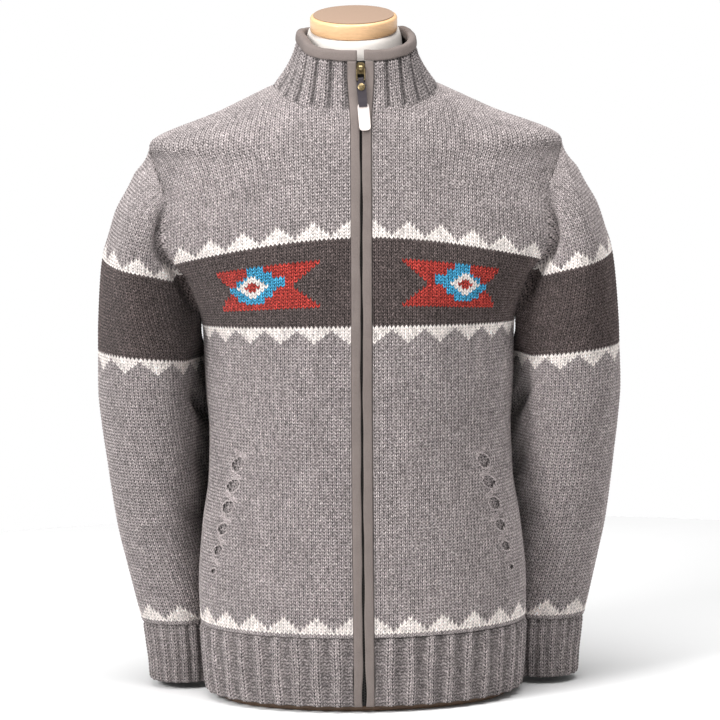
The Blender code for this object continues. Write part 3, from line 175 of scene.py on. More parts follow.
COLLAR_TOP_X = 0.0637
COLLAR_TOP_FRONT = -0.0870
COLLAR_TOP_BACK = 0.0570
COLLAR_TOP_MIDDLE = 0.7627
COLLAR_TOP_RISE = 0.0196
COLLAR_BACK_RISE = 0.0030
COLLAR_FRONT_SQUARE = 3.2
COLLAR_FLARE = 1.8
COLLAR_WALL = 0.0050
BINDING_DEPTH = 0.0085
COLLAR_SLANT = 0.0665
BINDING_EDGE_X = 0.0040

GAP_COLUMNS = ("height", "gap")
GAP = ((0.000, 0.0014), (0.024, 0.0024), (0.060, 0.0012), (0.684, 0.0012), (0.700, 0.0022), (0.717, 0.0050),
       (0.732, 0.0052), (0.745, 0.0040))
ZIP_BAND_THICKNESS = 0.0062
ZIP_BAND_STAND = 0.0012
ZIP_BOTTOM = 0.0075

EYELET_TOP = (0.1390, 0.2800)
EYELET_BOTTOM = (0.1700, 0.1540)
EYELET_SIZES = ((0.0140, 0.0170), (0.0150, 0.0150), (0.0140, 0.0150), (0.0120, 0.0140), (0.0110, 0.0120),
                (0.0070, 0.0075))
EYELET_REACH = 1.12

# ---------------------------------------------------------------- gauge and patterns

WALE = 0.00485
COURSE = 0.0038
LEG_RISE = 0.85
PURL_RISE = 1.25
STITCH_BULGE = 0.0009
NOTCH_SINK = 0.0005
STITCH_VARIES = 0.13
NECK_OVERLAP = 0.0045
SLEEVE_TUCK = 0.0014
HEM_HANGS = 0.0055
# Height, slant, depth and half width of each crease on a sleeve's front
CREASES = ((0.322, 0.55, 0.0130, 0.015), (0.258, 0.40, 0.0075, 0.015), (0.200, 0.30, 0.0060, 0.016))
# Depth of the hollow beside the armhole, by height
FURROW_HEIGHTS = (0.448, 0.480, 0.550, 0.595)
FURROW_DEPTHS = (0.0, 0.018, 0.016, 0.0)
FURROW_AWAY = 0.008
CREASES_AWAY = 0.030
CREASES_REACH = 0.026
FOLDS_BEHIND = 0.3
ROWS_FROM = 0.0820
FRONT_WALES = 49
BACK_WALES = 50
ARMHOLE_DECREASES = 4
SHOULDER_ROWS_FROM = 0.600
SLEEVE_ROWS_TURN_AT = 0.535
SLEEVE_TOP_MARGIN = 0.0012
ARMHOLE_NARROWS_OVER = 0.070
COLUMN_STEPS = 260
INSIDE_SEAM = 0.99999
SLEEVE_DROOP_REACH = 0.140
SLEEVE_DROOP_MOST = 1.35
CELL_LEAST = 0.02
# Painted shade of the yarn between two ribs, and painted light on a rib's crest, as shares of its colour
BETWEEN_RIBS_PAINTED_SHADE = 0.46
RIB_CREST_PAINTED_LIGHT = 1.06
STRIP_SHADE = 0.85
ZIGZAG = 8
ZIGZAG_PEAK = 5
CHEST_BAND = (94, 120)
SLEEVE_BAND = (86, 114)
HEM_BAND = 2
CUFF_BAND = 1
BANNER_WALES = (7, 33)
BANNER_ROWS = (100, 114)
NOTCH_SLOPE = 0.55
DIAMOND = (22, 107)
# The diamond's rows from its top one down, each from and to which wale about its middle
DIAMOND_TOP_ROW = 6
DIAMOND_ROWS = ((-1, 2), (-1, 2), (-1, 4), (-2, 4), (-4, 7), (-4, 7), (-6, 7),
                (-6, 5), (-5, 4), (-4, 4), (-4, 2), (-2, 2))

# How far the rows hang below level at the armhole, by height
DROOP_COLUMNS = ("height", "droop")
DROOP = ((0.082, 0.0), (0.380, 0.0), (0.441, 0.010), (0.460, 0.018), (0.490, 0.026), (0.530, 0.036),
         (0.705, 0.036))
SLEEVE_DROOP = ((0.080, 0.0), (0.330, 0.0), (0.400, 0.009), (0.480, 0.0165), (0.530, 0.022), (0.640, 0.022))

HEATHER = (0.415, 0.366, 0.361)
CHARCOAL = (0.118, 0.092, 0.088)
CREAM = (0.95, 0.87, 0.83)
RED = (0.49, 0.056, 0.044)
BLUE = (0.070, 0.40, 0.66)


# ---------------------------------------------------------------- tables and arcs

def through(columns, rows, name, heights):
    """A column's values at some heights, on a smooth curve through its rows that never overshoots them."""
    table = np.array(rows, float)
    x = table[:, 0]
    y = table[:, columns.index(name)]
    step = np.diff(x)
    slope = np.diff(y) / step
    tangent = np.empty_like(y)
    tangent[0] = slope[0]
    tangent[-1] = slope[-1]
    product = slope[:-1] * slope[1:]
    total = slope[:-1] + slope[1:]
    tangent[1:-1] = np.where(product > 0, 2 * product / np.where(total == 0, 1, total), 0)
    at = np.clip(np.asarray(heights, float), x[0], x[-1])
    i = np.clip(np.searchsorted(x, at, side="right") - 1, 0, len(x) - 2)
    t = (at - x[i]) / step[i]
    return (
        y[i] * (1 + 2 * t) * (1 - t) ** 2
        + tangent[i] * step[i] * t * (1 - t) ** 2
        + y[i + 1] * t * t * (3 - 2 * t)
        + tangent[i + 1] * step[i] * t * t * (t - 1)
    )


def drifted(points):
    """Points of the garment moved with the zip's drift, which fades towards the sides and the back."""
    points = np.array(points, float)
    amount = through(DRIFT_COLUMNS, DRIFT, "drift", points[..., 2])
    across = np.clip(1 - (points[..., 0] / DRIFT_REACH) ** 2, 0, None) ** 2
    ahead = np.clip(-points[..., 1] / DRIFT_DEPTH, 0, 1)
    points[..., 0] += amount * across * ahead * ahead * (3 - 2 * ahead)
    return points


def bezier(p0, p1, p2, p3, samples=60):
    t = np.linspace(0, 1, samples)[None, :, None]
    p0, p1, p2, p3 = (np.asarray(p, float)[:, None, :] for p in (p0, p1, p2, p3))
    return (1 - t) ** 3 * p0 + 3 * (1 - t) ** 2 * t * p1 + 3 * (1 - t) * t * t * p2 + t ** 3 * p3


def trunk_arcs(heights, face):
    """Level arcs of the front (face -1) or back (face 1), from the middle to the seam at the edge."""
    name = "front" if face < 0 else "back"
    depth, edge_x, edge_y, turn = (through(TRUNK_COLUMNS, TRUNK, column, heights)
                                   for column in (name, "edge_x", name + "_edge", name + "_turn"))
    edge_y, turn = face * edge_y, np.radians(turn)
    start = np.stack([np.zeros_like(depth), depth], axis=1)
    end = np.stack([edge_x, edge_y], axis=1)
    corner = np.stack([edge_x - (depth - edge_y) / np.tan(np.minimum(turn, math.pi / 2 - 1e-6)), depth], axis=1)
    arcs = bezier(start, start + ROUNDNESS * (corner - start), end + ROUNDNESS * (corner - end), end)
    arcs[:, :, 1] *= face
    return arcs


def sleeve_arcs(heights):
    """Level arcs of the left sleeve: front half from the armhole to the outside, and back half likewise."""
    column = {name: through(SLEEVE_COLUMNS, SLEEVE, name, heights) for name in SLEEVE_COLUMNS}
    trunk_x = through(TRUNK_COLUMNS, TRUNK, "edge_x", heights)
    joined = heights > UNDERARM
    low = np.clip((UNDERARM + UNDERARM_CLEARS_OVER - heights) / UNDERARM_CLEARS_OVER, 0, 1)
    seam_x = np.where(joined, trunk_x + UNDERARM_CLEARANCE * low - SLEEVE_TUCK * (1 - low), column["inner_x"])
    round_in = np.where(joined, np.clip((SHOULDER_TIP - heights) / SHOULDER_ROUNDS_OVER, 0, 1) ** 0.6, 1.0)
    for name in ("outer_x", "crest_x"):
        column[name] = seam_x + (column[name] - seam_x) * round_in
    outer = np.stack([column["outer_x"], column["outer_y"]], axis=1)
    turn = np.radians(column["start_turn"])
    halves = []
    for face, edge in ((-1, "front_edge"), (1, "back_edge")):
        seam_y = np.where(joined, through(TRUNK_COLUMNS, TRUNK, edge, heights), column["inner_y"])
        seam = np.stack([seam_x, seam_y], axis=1)
        crest = np.stack([column["crest_x"], column["front" if face < 0 else "back"]], axis=1)
        leave = np.stack([np.where(joined | (face < 0), 1, -1) * np.cos(turn), -face * np.sin(turn)], axis=1)
        reach = (ROUNDNESS * np.linalg.norm(crest - seam, axis=1) / math.sqrt(2))[:, None]
        corner = np.stack([column["outer_x"], crest[:, 1]], axis=1)
        near_arc = bezier(seam, seam + reach * leave, crest - reach * np.array([1, 0]), crest)
        far_arc = bezier(crest, crest + ROUNDNESS * (corner - crest), outer + ROUNDNESS * (corner - outer), outer)
        halves.append(np.concatenate([near_arc, far_arc[:, 1:]], axis=1))
    return halves


class Skin:
    """Level arcs stacked over a range of heights, read at any height and share of the arc."""

    def __init__(self, heights, arcs, samples=200):
        self.low = heights[0]
        self.step = heights[1] - heights[0]
        steps = np.linalg.norm(np.diff(arcs, axis=1), axis=2)
        along = np.concatenate([np.zeros((len(arcs), 1)), np.cumsum(steps, axis=1)], axis=1)
        self.lengths = along[:, -1]
        shares = np.linspace(0, 1, samples + 1)
        self.points = np.empty((len(arcs), samples + 1, 2))
        for k in range(len(arcs)):
            for axis in (0, 1):
                self.points[k, :, axis] = np.interp(shares * along[k, -1], along[k], arcs[k, :, axis])

    def rows(self, z):
        at = np.clip((np.asarray(z, float) - self.low) / self.step, 0, len(self.lengths) - 1.0001)
        k = at.astype(int)
        return k, at - k

    def length(self, z):
        k, t = self.rows(z)
        return self.lengths[k] * (1 - t) + self.lengths[k + 1] * t

    def at(self, z, share):
        z, share = np.broadcast_arrays(np.asarray(z, float), np.asarray(share, float))
        k, t = self.rows(z)
        m = np.clip(share, 0, 1) * (self.points.shape[1] - 1.0001)
        i = m.astype(int)
        f = (m - i)[..., None]
        t = t[..., None]
        below = self.points[k, i] * (1 - f) + self.points[k, i + 1] * f
        above = self.points[k + 1, i] * (1 - f) + self.points[k + 1, i + 1] * f
        return np.concatenate([below * (1 - t) + above * t, z[..., None]], axis=-1)

    def normal(self, z, share, sign):
        z, share = np.broadcast_arrays(np.asarray(z, float), np.asarray(share, float))
        rise, aside = 0.0015, 0.012
        upward = self.at(z + rise, share) - self.at(z - rise, share)
        upward[..., 2] = np.maximum(upward[..., 2], 2 * rise)
        along = self.at(z, np.clip(share + aside, 0, 1)) - self.at(z, np.clip(share - aside, 0, 1))
        normal = sign * np.cross(along, upward)
        return normal / np.maximum(np.linalg.norm(normal, axis=-1, keepdims=True), 1e-12)


TRUNK_Z = np.linspace(0.0, NECK_SIDE, 400)
SLEEVE_Z = np.linspace(CUFF_TOP, SHOULDER_TIP, 400)
TRUNK_SKIN = {face: Skin(TRUNK_Z, trunk_arcs(TRUNK_Z, face)) for face in (-1, 1)}
SLEEVE_SKIN = dict(zip((-1, 1), (Skin(SLEEVE_Z, arcs) for arcs in sleeve_arcs(SLEEVE_Z))))


def zip_edge_x(height):
    low, high = ZIP_EDGE_SPREADS
    share = np.clip((np.asarray(height, float) - low) / (high - low), 0, 1)
    return ZIP_EDGE_X + (ZIP_EDGE_TOP_X - ZIP_EDGE_X) * share * share * (3 - 2 * share)


# ---------------------------------------------------------------- meshes

# A square's corners and middle, the triangles between them, and the corners seen from behind
SQUARE_X = np.array([0, 1, 1, 0, 0.5])
SQUARE_Y = np.array([0, 0, 1, 1, 0.5])
FAN = np.array([[0, 1, 4], [1, 2, 4], [2, 3, 4], [3, 0, 4]])
BEHIND = [0, 3, 2, 1]
FLAT_STITCH = (0.25, 0.5)
RIM_BAKE = (0.5, 0.505)
MIRROR = (-1, 1, 1)


def mesh_object(name, points, faces, finish, corner_uv=None, bake_uv=None, colours=None, smooth=True):
    """A mesh object on the garment from arrays: faces is an array of triangles or of quads."""
    mesh = bpy.data.meshes.new(name)
    faces = np.asarray(faces, np.int32)
    count, size = faces.shape
    mesh.vertices.add(len(points))
    mesh.vertices.foreach_set("co", np.asarray(points, np.float32).ravel())
    mesh.loops.add(count * size)
    mesh.loops.foreach_set("vertex_index", faces.ravel())
    mesh.polygons.add(count)
    mesh.polygons.foreach_set("loop_start", np.arange(0, count * size, size, dtype=np.int32))
    mesh.update(calc_edges=True)
    mesh.polygons.foreach_set("use_smooth", np.full(count, smooth))
    for layer, values in (("OFBake", bake_uv), ("knit", corner_uv)):
        if values is not None:
            mesh.uv_layers.new(name=layer).uv.foreach_set("vector", np.asarray(values, np.float32).ravel())
    if colours is not None:
        layer = mesh.attributes.new("yarn", "FLOAT_COLOR", "CORNER")
        layer.data.foreach_set("color", np.asarray(colours, np.float32).ravel())
    mesh.materials.append(finish)
    mesh.validate()
    made = bpy.data.objects.new(name, mesh)
    bpy.context.scene.collection.objects.link(made)
    return made


def unit(vectors):
    return vectors / np.maximum(np.linalg.norm(vectors, axis=-1, keepdims=True), 1e-12)


def halved(quads):
    """Two triangles for each quad: all first halves, then all second halves."""
    return np.concatenate([quads[:, [0, 1, 2]], quads[:, [0, 2, 3]]])


def cells(grid, c, j):
    """The values at the corners of a grid's cells, in order round each."""
    return np.stack([grid[c, j], grid[c + 1, j], grid[c + 1, j + 1], grid[c, j + 1]], 1)


def knitted(name, place, offsets, low, high, colour, mirror=False, purl=None, wall=0.0, closed=False, gaps=None,
            crest=None, valley_painted_shade=BETWEEN_RIBS_PAINTED_SHADE):
    """A knitted sheet, stitch by stitch.

    place(column, v) gives points and normals for arrays of half-wale columns and course values, which the
    lows and highs of the columns bound. offsets lifts each column's stitches: the slant of their legs. A
    wall adds an inside, joined all round. gaps(points) says which stitches to leave out. crest is each
    column's height in a rib, and the valley argument is the painted shade of the yarn between two ribs,
    where the ribs would shade it.
    """
    columns = len(offsets)
    offsets = np.asarray(offsets)[:, None]
    low, high = (np.broadcast_to(bound, columns)[:, None] for bound in (low, high))
    lines = np.arange(math.floor(np.min(low) - np.max(offsets)), math.ceil(np.max(high)) + 2)
    v = np.clip(lines + offsets, low, high)
    points, normals = place(np.broadcast_to(np.arange(columns)[:, None], v.shape), v)
    if mirror:
        points, normals = points * MIRROR, normals * MIRROR
    t = v - offsets
    tall = np.maximum(np.diff(v, axis=1), 0)
    cell_tall = (tall[:-1] + tall[1:]) / 2
    kept = cell_tall > CELL_LEAST
    middle = (points[:-1, :-1] + points[1:, :-1] + points[:-1, 1:] + points[1:, 1:]) / 4
    outward = unit(normals[:-1, :-1] + normals[1:, 1:])
    middle = middle + outward * (STITCH_BULGE * np.clip(cell_tall, 0, 1))[..., None]
    points = points - (offsets == 0)[..., None] * NOTCH_SINK * normals
    if gaps is not None:
        kept &= ~gaps(middle)
    rows = len(lines)
    outside = np.arange(columns * rows).reshape(columns, rows)
    centres = outside.size + np.arange((columns - 1) * (rows - 1)).reshape(columns - 1, rows - 1)
    inside = outside + outside.size + centres.size
    if closed:
        outside[-1], inside[-1] = outside[0], inside[0]
    cc, jj = np.nonzero(kept)
    faces = np.concatenate([cells(outside, cc, jj), centres[cc, jj][:, None]], 1)[:, FAN].reshape(-1, 3)
    x, y = cc[:, None] + SQUARE_X, jj[:, None] + SQUARE_Y
    across = x / 2
    up = np.concatenate([cells(t, cc, jj), (t[cc, jj] + t[cc + 1, jj + 1])[:, None] / 2], 1)
    if purl is not None:
        across = np.where(np.asarray(purl)[cc][:, None], np.floor(cc / 2)[:, None] + FLAT_STITCH[0], across)
    knit_uv = np.stack([across[:, FAN], up[:, FAN]], -1).reshape(-1, 2)
    bake = np.stack([x / (columns - 1), y / (rows - 1)], -1)
    bake_uv = (bake[:, FAN] * (0.98, 0.48 if wall else 0.98) + 0.01).reshape(-1, 2)
    tint = colour(cc // 2, lines[jj])
    shade = np.clip(rng.normal(1.0, STITCH_VARIES, len(cc)), 0.6, 1.4)[:, None]
    # Painted shade: a stitch's colour is darkened from a rib's crest down to the valley between two ribs, and lightened
    # a little on the crest
    if crest is not None:
        raised = np.clip((crest[cc] + crest[cc + 1]) / 2, 0, 1) ** 1.3
        shade = shade * (valley_painted_shade + (RIB_CREST_PAINTED_LIGHT - valley_painted_shade) * raised)[:, None]
    tint = np.concatenate([tint * shade, np.ones((len(cc), 1))], axis=1)
    colours = np.repeat(tint, FAN.size, axis=0)
    all_points = [points.reshape(-1, 3), middle.reshape(-1, 3)]
    if wall:
        all_points.append((points - wall * normals).reshape(-1, 3))
        strips = [(cells(inside, cc, jj)[:, BEHIND], bake[:, BEHIND] * (0.98, 0.45) + (0.01, 0.52))]

        def rim(c, j, next_c, next_j, turned=False):
            """Closes the wall's edge from one place on its border to the next."""
            quads = np.stack([outside[c, j], inside[c, j], inside[next_c, next_j], outside[next_c, next_j]], -1)
            quads = quads.reshape(-1, 4)[:, ::-1 if turned else 1]
            strips.append((quads, np.full((len(quads), 4, 2), RIM_BAKE)))

        bottom = np.argmax(kept, axis=1)
        top = kept.shape[1] - np.argmax(kept[:, ::-1], axis=1)
        every = np.arange(columns - 1)
        for ends, turned in ((bottom, False), (top, True)):
            rim(every, ends, every + 1, ends, turned)
            for k in np.nonzero(np.diff(ends))[0]:
                for j in range(*sorted((ends[k], ends[k + 1]))):
                    rim(k + 1, j, k + 1, j + 1)
        if not closed:
            for column, cell, turned in ((0, 0, True), (columns - 1, columns - 2, False)):
                js = np.nonzero(kept[cell])[0]
                rim(column, js, column, js + 1, turned)
        faces = np.concatenate([faces] + [halved(quads) for quads, _ in strips])
        rim_uv = np.concatenate([halved(uv).reshape(-1, 2) for _, uv in strips])
        bake_uv = np.concatenate([bake_uv, rim_uv])
        knit_uv = np.concatenate([knit_uv, np.full((len(rim_uv), 2), FLAT_STITCH)])
        colours = np.concatenate([colours, np.tile((*(tint[0, :3] * STRIP_SHADE), 1.0), (len(rim_uv), 1))])
    used, faces = np.unique(faces, return_inverse=True)
    points = drifted(np.concatenate(all_points))[used]
    return mesh_object(name, points, faces.reshape(-1, 3), YARN, knit_uv, bake_uv, colours)


# ---------------------------------------------------------------- colours by stitch


def zigzag(wales):
    """Rows of a zigzag's column: 5 at a peak, and 1 between peaks."""
    beat = np.mod(wales, ZIGZAG)
    return ZIGZAG_PEAK - np.minimum(beat, ZIGZAG - beat)


def banded(wales, rows, band, low_start):
    """Heather with a charcoal band between two white zigzags, and a white zigzag low down."""
    tint = np.tile(np.array(HEATHER), (len(wales), 1))
    peak = zigzag(wales)
    tint[(rows >= low_start) & (rows < low_start + peak)] = CREAM
    tint[(rows >= band[0]) & (rows < band[1])] = CHARCOAL
    tint[(rows >= band[1]) & (rows < band[1] + peak)] = CREAM
    tint[(rows < band[0]) & (rows >= band[0] - peak)] = CREAM
    return tint


def front_colours(wales, rows):
    """The bands, and the swallow-tailed banner with its stepped diamond. Wales count from the zip."""
    tint = banded(wales, rows, CHEST_BAND, HEM_BAND)
    half = (BANNER_ROWS[1] - BANNER_ROWS[0]) / 2
    from_edge = half - np.abs(rows - (BANNER_ROWS[0] + BANNER_ROWS[1] - 1) / 2)
    banner = (rows >= BANNER_ROWS[0]) & (rows < BANNER_ROWS[1])
    banner &= wales >= BANNER_WALES[0] + np.floor(from_edge)
    banner &= wales < BANNER_WALES[1] - np.ceil(from_edge * NOTCH_SLOPE)
    tint[banner] = RED
    toward = DIAMOND[0] - wales
    up = rows - DIAMOND[1]
    for row, (low, high) in enumerate(DIAMOND_ROWS):
        tint[(up == DIAMOND_TOP_ROW - row) & (toward >= low) & (toward <= high)] = BLUE
    aside = np.abs(toward + 0.5)
    for reach, colour in ((3, CREAM), (1, RED)):
        tint[(np.abs(up) <= reach) & (aside <= reach + 0.5 - np.abs(up))] = colour
    return tint


def bands_about(middle, band, low_start):
    """The bands, with the zigzags even about a middle wale."""
    def tint(wales, rows):
        return banded(np.abs(wales - middle), rows, band, low_start)
    return tint


def plain(share):
    """The heather, made darker by a share."""
    def tint(wales, rows):
        return np.tile(np.array(HEATHER) * share, (len(wales), 1))
    return tint


# ---------------------------------------------------------------- materials

class Value:
    """A socket in a node tree. Arithmetic on it makes the nodes."""

    def __init__(self, tree, socket):
        self.tree, self.socket = tree, socket

    def math(self, operation, *others, swap=False):
        values = (self, *others)
        return new_node(self.tree, "Math", dict(enumerate(values[::-1] if swap else values)), operation=operation)

    def __add__(self, other):
        return self.math("ADD", other)

    def __sub__(self, other):
        return self.math("SUBTRACT", other)

    def __rsub__(self, other):
        return self.math("SUBTRACT", other, swap=True)

    def __mul__(self, other):
        return self.math("MULTIPLY", other)

    def __truediv__(self, other):
        return self.math("DIVIDE", other)

    def __pow__(self, other):
        return self.math("POWER", other)

    def ranged(self, low, high, to_low, to_high):
        """The value carried from one range to another, and held at its ends."""
        return new_node(self.tree, "MapRange", {"Value": self, "From Min": low, "From Max": high,
                                                "To Min": to_low, "To Max": to_high})

    def mottled(self, vary, low=0.3, high=0.7):
        """A noise's middle range as a shade about 1."""
        return self.ranged(low, high, 1 - vary, 1 + vary)


def feed(tree, slot, value):
    """Sets a node's input to a number or a colour, or links it to a value."""
    if isinstance(value, Value):
        tree.links.new(value.socket, slot)
    else:
        slot.default_value = value


def new_node(tree, kind, inputs=None, out=0, **settings):
    """A node with its settings made and its inputs fed. Gives the value at one of its outputs."""
    made = tree.nodes.new("ShaderNode" + kind)
    for name, value in settings.items():
        setattr(made, name, value)
    for slot, value in (inputs or {}).items():
        feed(tree, made.inputs[slot], value)
    return Value(tree, made.outputs[out])


def noise(tree, scale, detail=2.0, stretch=(1, 1, 1), rough=0.5):
    """Noise in the object's own space, stretched along its axes."""
    shape = new_node(tree, "Mapping", {"Vector": new_node(tree, "TexCoord", out="Object"), "Scale": stretch})
    return new_node(tree, "TexNoise", {"Vector": shape, "Scale": scale, "Detail": detail, "Roughness": rough},
                    out="Fac")


def finish_of(name, roughness=0.9, metallic=0.0, sheen=0.0, specular=0.5, coat=0.0):
    made = bpy.data.materials.new(name)
    made.use_nodes = True
    shader = made.node_tree.nodes["Principled BSDF"]
    for slot, value in (("Roughness", roughness), ("Metallic", metallic), ("Sheen Weight", sheen),
                        ("Specular IOR Level", specular), ("Coat Weight", coat)):
        shader.inputs[slot].default_value = value
    return made, made.node_tree, shader


def coloured(tree, shader, colour, shade):
    """Sets the base colour: a colour multiplied by a shade."""
    product = new_node(tree, "VectorMath", {0: colour, "Scale": shade}, operation="SCALE")
    feed(tree, shader.inputs["Base Color"], product)


def bump(tree, shader, height, distance, strength=1.0):
    relief = new_node(tree, "Bump", {"Strength": strength, "Distance": distance, "Height": height})
    feed(tree, shader.inputs["Normal"], relief)


def yarn_material(name, marl, hair):
    """Woollen yarn: each stitch's colour, marled, with painted shade in the grooves and notches where legs meet, with
    plies and fine fibres.
    """
    made, tree, shader = finish_of(name, roughness=0.95, sheen=0.04, specular=0.12)
    shader.inputs["Sheen Roughness"].default_value = 0.6
    tint = new_node(tree, "Attribute", attribute_name="yarn")
    stitch = new_node(tree, "UVMap", uv_map="knit")
    across, phase = (new_node(tree, "SeparateXYZ", {0: stitch}, out).math("FRACT") for out in (0, 1))
    side = (across - 0.5).math("ABSOLUTE") * 2.0
    leg_edge = phase.math("MINIMUM", 1.0 - phase)
    # Each leg is rounded off towards the wale's edge, the next legs and the wale's middle, in its relief and in a
    # painted shade that darkens its edges
    nearest = ((1.0 - side) * 3.2).math("MINIMUM", leg_edge * 3.0).math("MINIMUM", side * 3.6)
    round_leg = nearest.ranged(0.0, 1.0, 0.0, 1.0)
    # A notch opens where the two legs of a stitch meet, sunk in the relief and darkened with painted shade
    notch = ((side / 0.42) ** 2.0 + (leg_edge / 0.30) ** 2.0).ranged(0.15, 1.1, 0.0, 1.0)
    plies = ((phase * 2.0 + side * 1.3) * 12.57).math("SINE")
    marled = noise(tree, 620.0, 3.0)
    fine = noise(tree, 2600.0, 2.0, rough=0.7)
    shade = marled.mottled(marl, 0.32, 0.68) * fine.mottled(hair)
    # Painted shade: the yarn's colour is darkened in the grooves round each leg and in the notch, with a slight painted
    # highlight on each leg's middle
    deep = round_leg.ranged(0.0, 1.0, 0.45, 1.12) * notch.ranged(0.0, 1.0, 0.15, 1.0)
    pale = new_node(tree, "RGBToBW", {0: tint})
    # Pale yarn gets less painted shade and is marled less than dark yarn
    deep = deep ** pale.ranged(0.40, 0.85, 1.0, 0.35)
    shade = shade ** pale.ranged(0.15, 0.80, 1.9, 0.5) * deep
    coloured(tree, shader, tint, shade * noise(tree, 38.0, 2.0, (1, 1, 0.45)).mottled(0.09))
    bump(tree, shader, round_leg + notch + plies * 0.10 + fine * 0.5 + marled * 0.35, 0.0007)
    return made


def jersey_material():
    made, tree, shader = finish_of("jersey_taupe", roughness=0.95, sheen=0.05, specular=0.12)
    cloth = noise(tree, 1400.0, 3.0)
    broad = noise(tree, 45.0, 2.0)
    coloured(tree, shader, (0.176, 0.147, 0.136), cloth.mottled(0.14) * broad.mottled(0.06))
    bump(tree, shader, cloth + broad * 2.0, 0.0004, 0.7)
    return made


def flat_material(name, colour, roughness, metallic=0.0, grain=300.0, vary=0.06, relief=0.0001, specular=0.5,
                  stretch=(1, 1, 1)):
    made, tree, shader = finish_of(name, roughness, metallic, specular=specular)
    fine = noise(tree, grain, 3.0, stretch)
    coloured(tree, shader, colour, fine.mottled(vary))
    feed(tree, shader.inputs["Roughness"], fine.ranged(0.3, 0.7, roughness - 0.06, roughness + 0.06))
    bump(tree, shader, fine, relief)
    return made


def maple_material():
    made, tree, shader = finish_of("maple_honey", 0.38, coat=0.25)
    grain = noise(tree, 60.0, 4.0, (1, 1, 9), 0.6)
    pores = noise(tree, 900.0, 2.0, (0.15, 1, 1))
    coloured(tree, shader, (0.78, 0.485, 0.255), grain.mottled(0.1) * pores.mottled(0.04))
    bump(tree, shader, pores, 0.0001)
    return made


YARN = yarn_material("yarn_heather", 0.40, 0.22)
JERSEY = jersey_material()
TEETH = flat_material("zip_teeth_dark", (0.03, 0.028, 0.026), 0.45, 0.6, grain=2500.0)
TAPE = flat_material("zip_tape_black", (0.018, 0.018, 0.018), 0.85, grain=2200.0, relief=0.0002)
BRASS = flat_material("brass_aged", (0.25, 0.19, 0.10), 0.36, 1.0, grain=500.0, vary=0.3, relief=0.00005)
STRAP = flat_material("leather_charcoal", (0.040, 0.034, 0.040), 0.75, grain=1500.0, vary=0.15, relief=0.00025,
                      specular=0.2)
TAB = flat_material("leather_pale", (0.68, 0.60, 0.57), 0.6, grain=1500.0, vary=0.04, relief=0.0002)
COVER = flat_material("form_cover", (0.62, 0.58, 0.545), 0.85, grain=1600.0, vary=0.04, relief=0.0002)
MAPLE = maple_material()
DISC = flat_material("disc_beige", (0.31, 0.212, 0.152), 0.85, grain=1300.0, vary=0.08, relief=0.0002)
BOARD = flat_material("board_brown", (0.20, 0.125, 0.08), 0.6, grain=120.0, vary=0.2, stretch=(1, 8, 8))


# ---------------------------------------------------------------- columns of stitches

SIDES = ("left", "right")


def courses_up(skin, z, share, hang, rows_from, turn_height):
    """Course values up a column: level rows with their hang, and from a height rows that follow the cloth."""
    courses = (z + hang - rows_from) / COURSE
    along = np.cumsum(np.linalg.norm(np.diff(skin.at(z, share), axis=0), axis=1))
    along = np.concatenate([[0], along])
    turn = min(np.searchsorted(z, turn_height), len(z) - 1)
    courses[turn:] = courses[turn] + (along[turn:] - along[turn]) / COURSE
    return courses


def heights_at(v, courses, heights):
    """Heights at course values, column by column."""
    return np.array([np.interp(*column) for column in zip(v, courses, heights)])


def leg_offsets(count):
    """Lift of each half-wale column: the legs of a stitch rise from its middle to the wale's edges."""
    return np.where(np.arange(count) % 2 == 0, LEG_RISE, 0.0)


# ---------------------------------------------------------------- fronts and back

def edge_wale(z, wales):
    """The wale at a panel's edge: the armhole takes a few wales away."""
    return wales - ARMHOLE_DECREASES * np.clip((z - UNDERARM) / ARMHOLE_NARROWS_OVER, 0, 1)


def trunk_distance(face, z, u, start, wales):
    """Distance along the level arc of a wale, counted from the zip or the middle back."""
    level = np.minimum(z, SHOULDER_TIP)
    edge = edge_wale(level, wales)
    slack = TRUNK_SKIN[face].length(level) - start - WALE * edge
    return start + WALE * u + slack * np.clip(u / edge, 0, 1) ** 3


def trunk_top(face, size, start, wales):
    """The height at which a wale ends, at the armhole, the shoulder or the neckline."""
    if size > wales - ARMHOLE_DECREASES:
        return UNDERARM + ARMHOLE_NARROWS_OVER * (wales - size) / ARMHOLE_DECREASES
    skin = TRUNK_SKIN[face]
    low_neck = NECK_FRONT if face < 0 else NECK_BACK
    levels = np.linspace(SHOULDER_TIP, NECK_SIDE, 200)
    reach = float(trunk_distance(face, np.array(SHOULDER_TIP), size, start, wales))
    top = float(np.interp(-reach, -skin.length(levels), levels))
    scan = np.linspace(SHOULDER_TIP, top, 200)
    x = skin.at(scan, reach / skin.length(scan))[:, 0]
    neckline = NECK_SIDE - (NECK_SIDE - low_neck) * np.sqrt(np.clip(1 - (x / NECK_SIDE_X) ** 2, 0, 1))
    above = scan - NECK_OVERLAP > neckline
    if np.any(above):
        top = float(scan[np.argmax(above)])
    return max(top, SHOULDER_TIP - SEAM_GAP)


